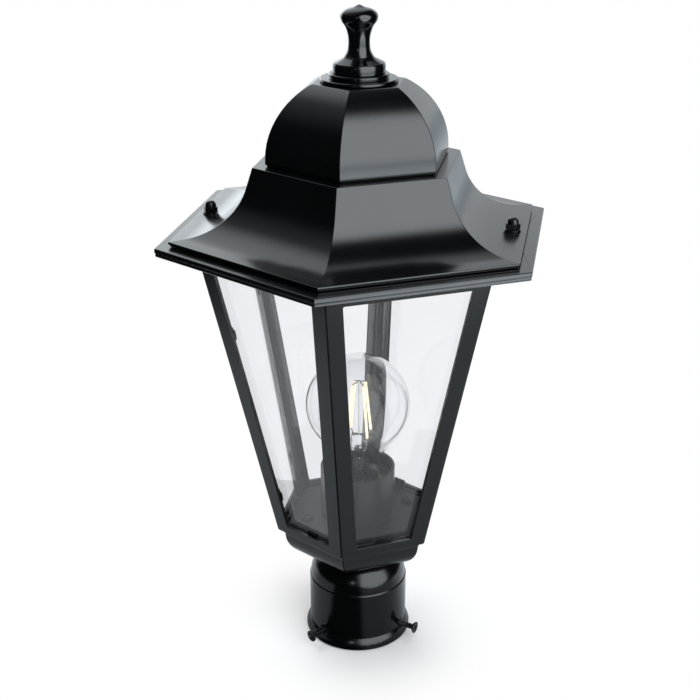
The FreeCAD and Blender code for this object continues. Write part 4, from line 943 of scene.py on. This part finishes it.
# soft light cards: where they stand, by azimuth and height, how far they reach up and down, all in
# degrees, and how wide they are against that
cards = {
    "rightSoftbox": {"azimuth": -40.0, "height": 14.0, "inner": 38.0, "outer": 56.0, "strength": 3.0, "wide": 0.6},
    "backWall": {"azimuth": 95.0, "height": 2.0, "inner": 19.0, "outer": 35.0, "strength": 0.92, "wide": 1.9},
    "backLeft": {"azimuth": 130.0, "height": 5.0, "inner": 10.0, "outer": 27.0, "strength": 1.7, "wide": 1.25},
    "topBack": {"azimuth": 118.0, "height": 46.0, "inner": 8.0, "outer": 33.0, "strength": 1.0, "wide": 1.0},
    "smallLamp": {"azimuth": -92.0, "height": 14.0, "inner": 2.5, "outer": 6.5, "strength": 2.4, "wide": 1.0},
    "topWash": {"azimuth": 150.0, "height": 58.0, "inner": 6.0, "outer": 44.0, "strength": 0.2, "wide": 1.0},
}
room = {"light": 0.015, "tint": (0.90, 0.96, 1.0)}
# how bright the table is in the paint's reflections close to the object, and where it gets paler
tableMirror = {"near": 0.26, "far": 0.5, "front": 0.34, "back": 0.95, "paleFrom": -0.02, "paleTo": 0.07,
               "gapAzimuth": -102.0, "gapInner": 24.0, "gapOuter": 36.0}


def cosOf(degrees):
    return math.cos(math.radians(degrees))


def turnVector(tree, vectorSocket, axis, degrees):
    node = addNode(tree, "ShaderNodeVectorRotate", rotation_type=axis)
    setInputs(node, Angle=math.radians(degrees))
    tree.links.new(vectorSocket, node.inputs["Vector"])
    return node.outputs["Vector"]


def makeCardGroup():
    # brightness of the studio in a direction: a dim room and a few soft cards
    tree, source, sink = startGroup("studioCards", {"Vector": (0.0, 0.0, 1.0)}, ("Value",))
    total = room["light"]
    for card in cards.values():
        # the direction as seen from the card's own middle
        turned = turnVector(tree, source["Vector"], "Z_AXIS", -card["azimuth"])
        tipped = turnVector(tree, turned, "Y_AXIS", card["height"])
        narrowed = vectorOf(tree, "MULTIPLY", tipped, (1.0, 1.0 / card["wide"], 1.0))
        facing = tree.nodes.new("ShaderNodeSeparateXYZ")
        tree.links.new(vectorOf(tree, "NORMALIZE", narrowed), facing.inputs["Vector"])
        fade = rangeOf(tree, facing.outputs["X"], 0.0, card["strength"], cosOf(card["outer"]), cosOf(card["inner"]),
                       smooth=True)
        total = mathOf(tree, "ADD", total, fade)
    tree.links.new(total, sink["Value"])
    return tree


studioCards = makeCardGroup()


def seenPlainly(tree, rays):
    # one for rays that show the background itself
    return mathOf(tree, "MAXIMUM", rays["Is Camera Ray"], rays["Is Transmission Ray"])


def makeFloor():
    shape = bmesh.new()
    bmesh.ops.create_grid(shape, x_segments=1, y_segments=1, size=studio["floorSize"] / 2)
    mesh = bpy.data.meshes.new("studioFloor")
    shape.to_mesh(mesh)
    shape.free()
    floor = bpy.data.objects.new("studioFloor", mesh)
    bpy.context.scene.collection.objects.link(floor)
    floor.location.z = -studio["floorDrop"]
    material = bpy.data.materials.new("paperFloor")
    tree, surface, coords = startTree(material, "ShaderNodeOutputMaterial")
    place = coords["Object"]
    rays = tree.nodes.new("ShaderNodeLightPath").outputs
    # away from the object the floor runs into plain white
    paper = setInputs(tree.nodes.new("ShaderNodeBsdfDiffuse"), Color=(*studio["paper"], 1.0))
    white = tree.nodes.new("ShaderNodeEmission")
    distance = vectorOf(tree, "LENGTH", place)
    away = rangeOf(tree, distance, 0.0, 1.0, studio["whiteFrom"], studio["whiteTo"], smooth=True)
    plain = mathOf(tree, "MULTIPLY", away, seenPlainly(tree, rays))
    paperOrWhite = mixShaders(tree, plain, paper.outputs["BSDF"], white.outputs["Emission"])
    # in the paint's reflections the floor carries the cards on, and is paler close by and behind
    t = tableMirror
    below = vectorOf(tree, "SUBTRACT", place, (0.0, 0.0, studio["mirrorHeight"]))
    carried = placeGroup(tree, studioCards, below)["Value"]
    near = rangeOf(tree, distance, 1.0, 0.0, t["near"], t["far"], smooth=True)
    parts = tree.nodes.new("ShaderNodeSeparateXYZ")
    tree.links.new(place, parts.inputs["Vector"])
    depth = rangeOf(tree, parts.outputs["Y"], t["front"], t["back"], t["paleFrom"], t["paleTo"], smooth=True)
    # with a dark gap towards the camera
    gapAngle = math.radians(t["gapAzimuth"])
    facing = vectorOf(tree, "DOT_PRODUCT", vectorOf(tree, "NORMALIZE", place),
                      (math.cos(gapAngle), math.sin(gapAngle), 0.0))
    gap = rangeOf(tree, facing, 1.0, 0.0, cosOf(t["gapOuter"]), cosOf(t["gapInner"]), smooth=True)
    table = mathOf(tree, "MULTIPLY_ADD", mathOf(tree, "MULTIPLY", near, depth), gap, carried)
    tinted = addNode(tree, "ShaderNodeVectorMath", operation="SCALE")
    feed(tree, tinted.inputs[0], room["tint"])
    feed(tree, tinted.inputs["Scale"], table)
    mirrored = tree.nodes.new("ShaderNodeBsdfDiffuse")
    tree.links.new(tinted.outputs["Vector"], mirrored.inputs["Color"])
    # a ray through glass counts as glossy too, and shows the plain floor
    reflected = mathOf(tree, "SUBTRACT", rays["Is Glossy Ray"], rays["Is Transmission Ray"], clamp=True)
    tree.links.new(mixShaders(tree, reflected, paperOrWhite, mirrored.outputs["BSDF"]), surface)
    mesh.materials.append(material)


def makeWorld():
    # white to the camera and through glass, the studio's cards to everything else
    world = bpy.data.worlds.new("studioRoom")
    bpy.context.scene.world = world
    tree, surface, coords = startTree(world, "ShaderNodeOutputWorld")
    white = setInputs(tree.nodes.new("ShaderNodeBackground"), Color=(1.0, 1.0, 1.0, 1.0))
    cardLight = setInputs(tree.nodes.new("ShaderNodeBackground"), Color=(*room["tint"], 1.0))
    tree.links.new(placeGroup(tree, studioCards, coords["Generated"])["Value"], cardLight.inputs["Strength"])
    plainly = seenPlainly(tree, tree.nodes.new("ShaderNodeLightPath").outputs)
    tree.links.new(mixShaders(tree, plainly, cardLight.outputs["Background"], white.outputs["Background"]), surface)


overhead = {"place": (-0.15, 0.1, 1.5), "aim": (0.0, 0.0, 0.0), "size": 1.8, "watts": 26.0}


def makeOverhead():
    # soft top light that fills in the floor and the shadow; the paint reflects the cards only
    light = bpy.data.lights.new("overhead", "AREA")
    light.shape = "SQUARE"
    light.size = overhead["size"]
    light.energy = overhead["watts"]
    holder = bpy.data.objects.new("overhead", light)
    bpy.context.scene.collection.objects.link(holder)
    holder.location = overhead["place"]
    aim = Vector(overhead["aim"]) - Vector(overhead["place"])
    holder.rotation_euler = aim.to_track_quat("-Z", "Y").to_euler()
    holder.visible_glossy = False


def makeCamera():
    data = bpy.data.cameras.new("photoCamera")
    data.lens = cameraSet["lens"]
    data.sensor_width = cameraSet["sensor"]
    data.shift_x = cameraSet["shiftX"]
    data.clip_start = cameraSet["near"]
    data.clip_end = cameraSet["far"]
    camera = bpy.data.objects.new("photoCamera", data)
    bpy.context.scene.collection.objects.link(camera)
    camera.location = cameraSet["place"]
    camera.rotation_euler = Vector(cameraSet["look"]).to_track_quat("-Z", "Y").to_euler()
    bpy.context.scene.camera = camera


makeFloor()
makeWorld()
makeOverhead()
makeCamera()
bpy.context.scene.view_settings.view_transform = "Standard"
print("studio set")
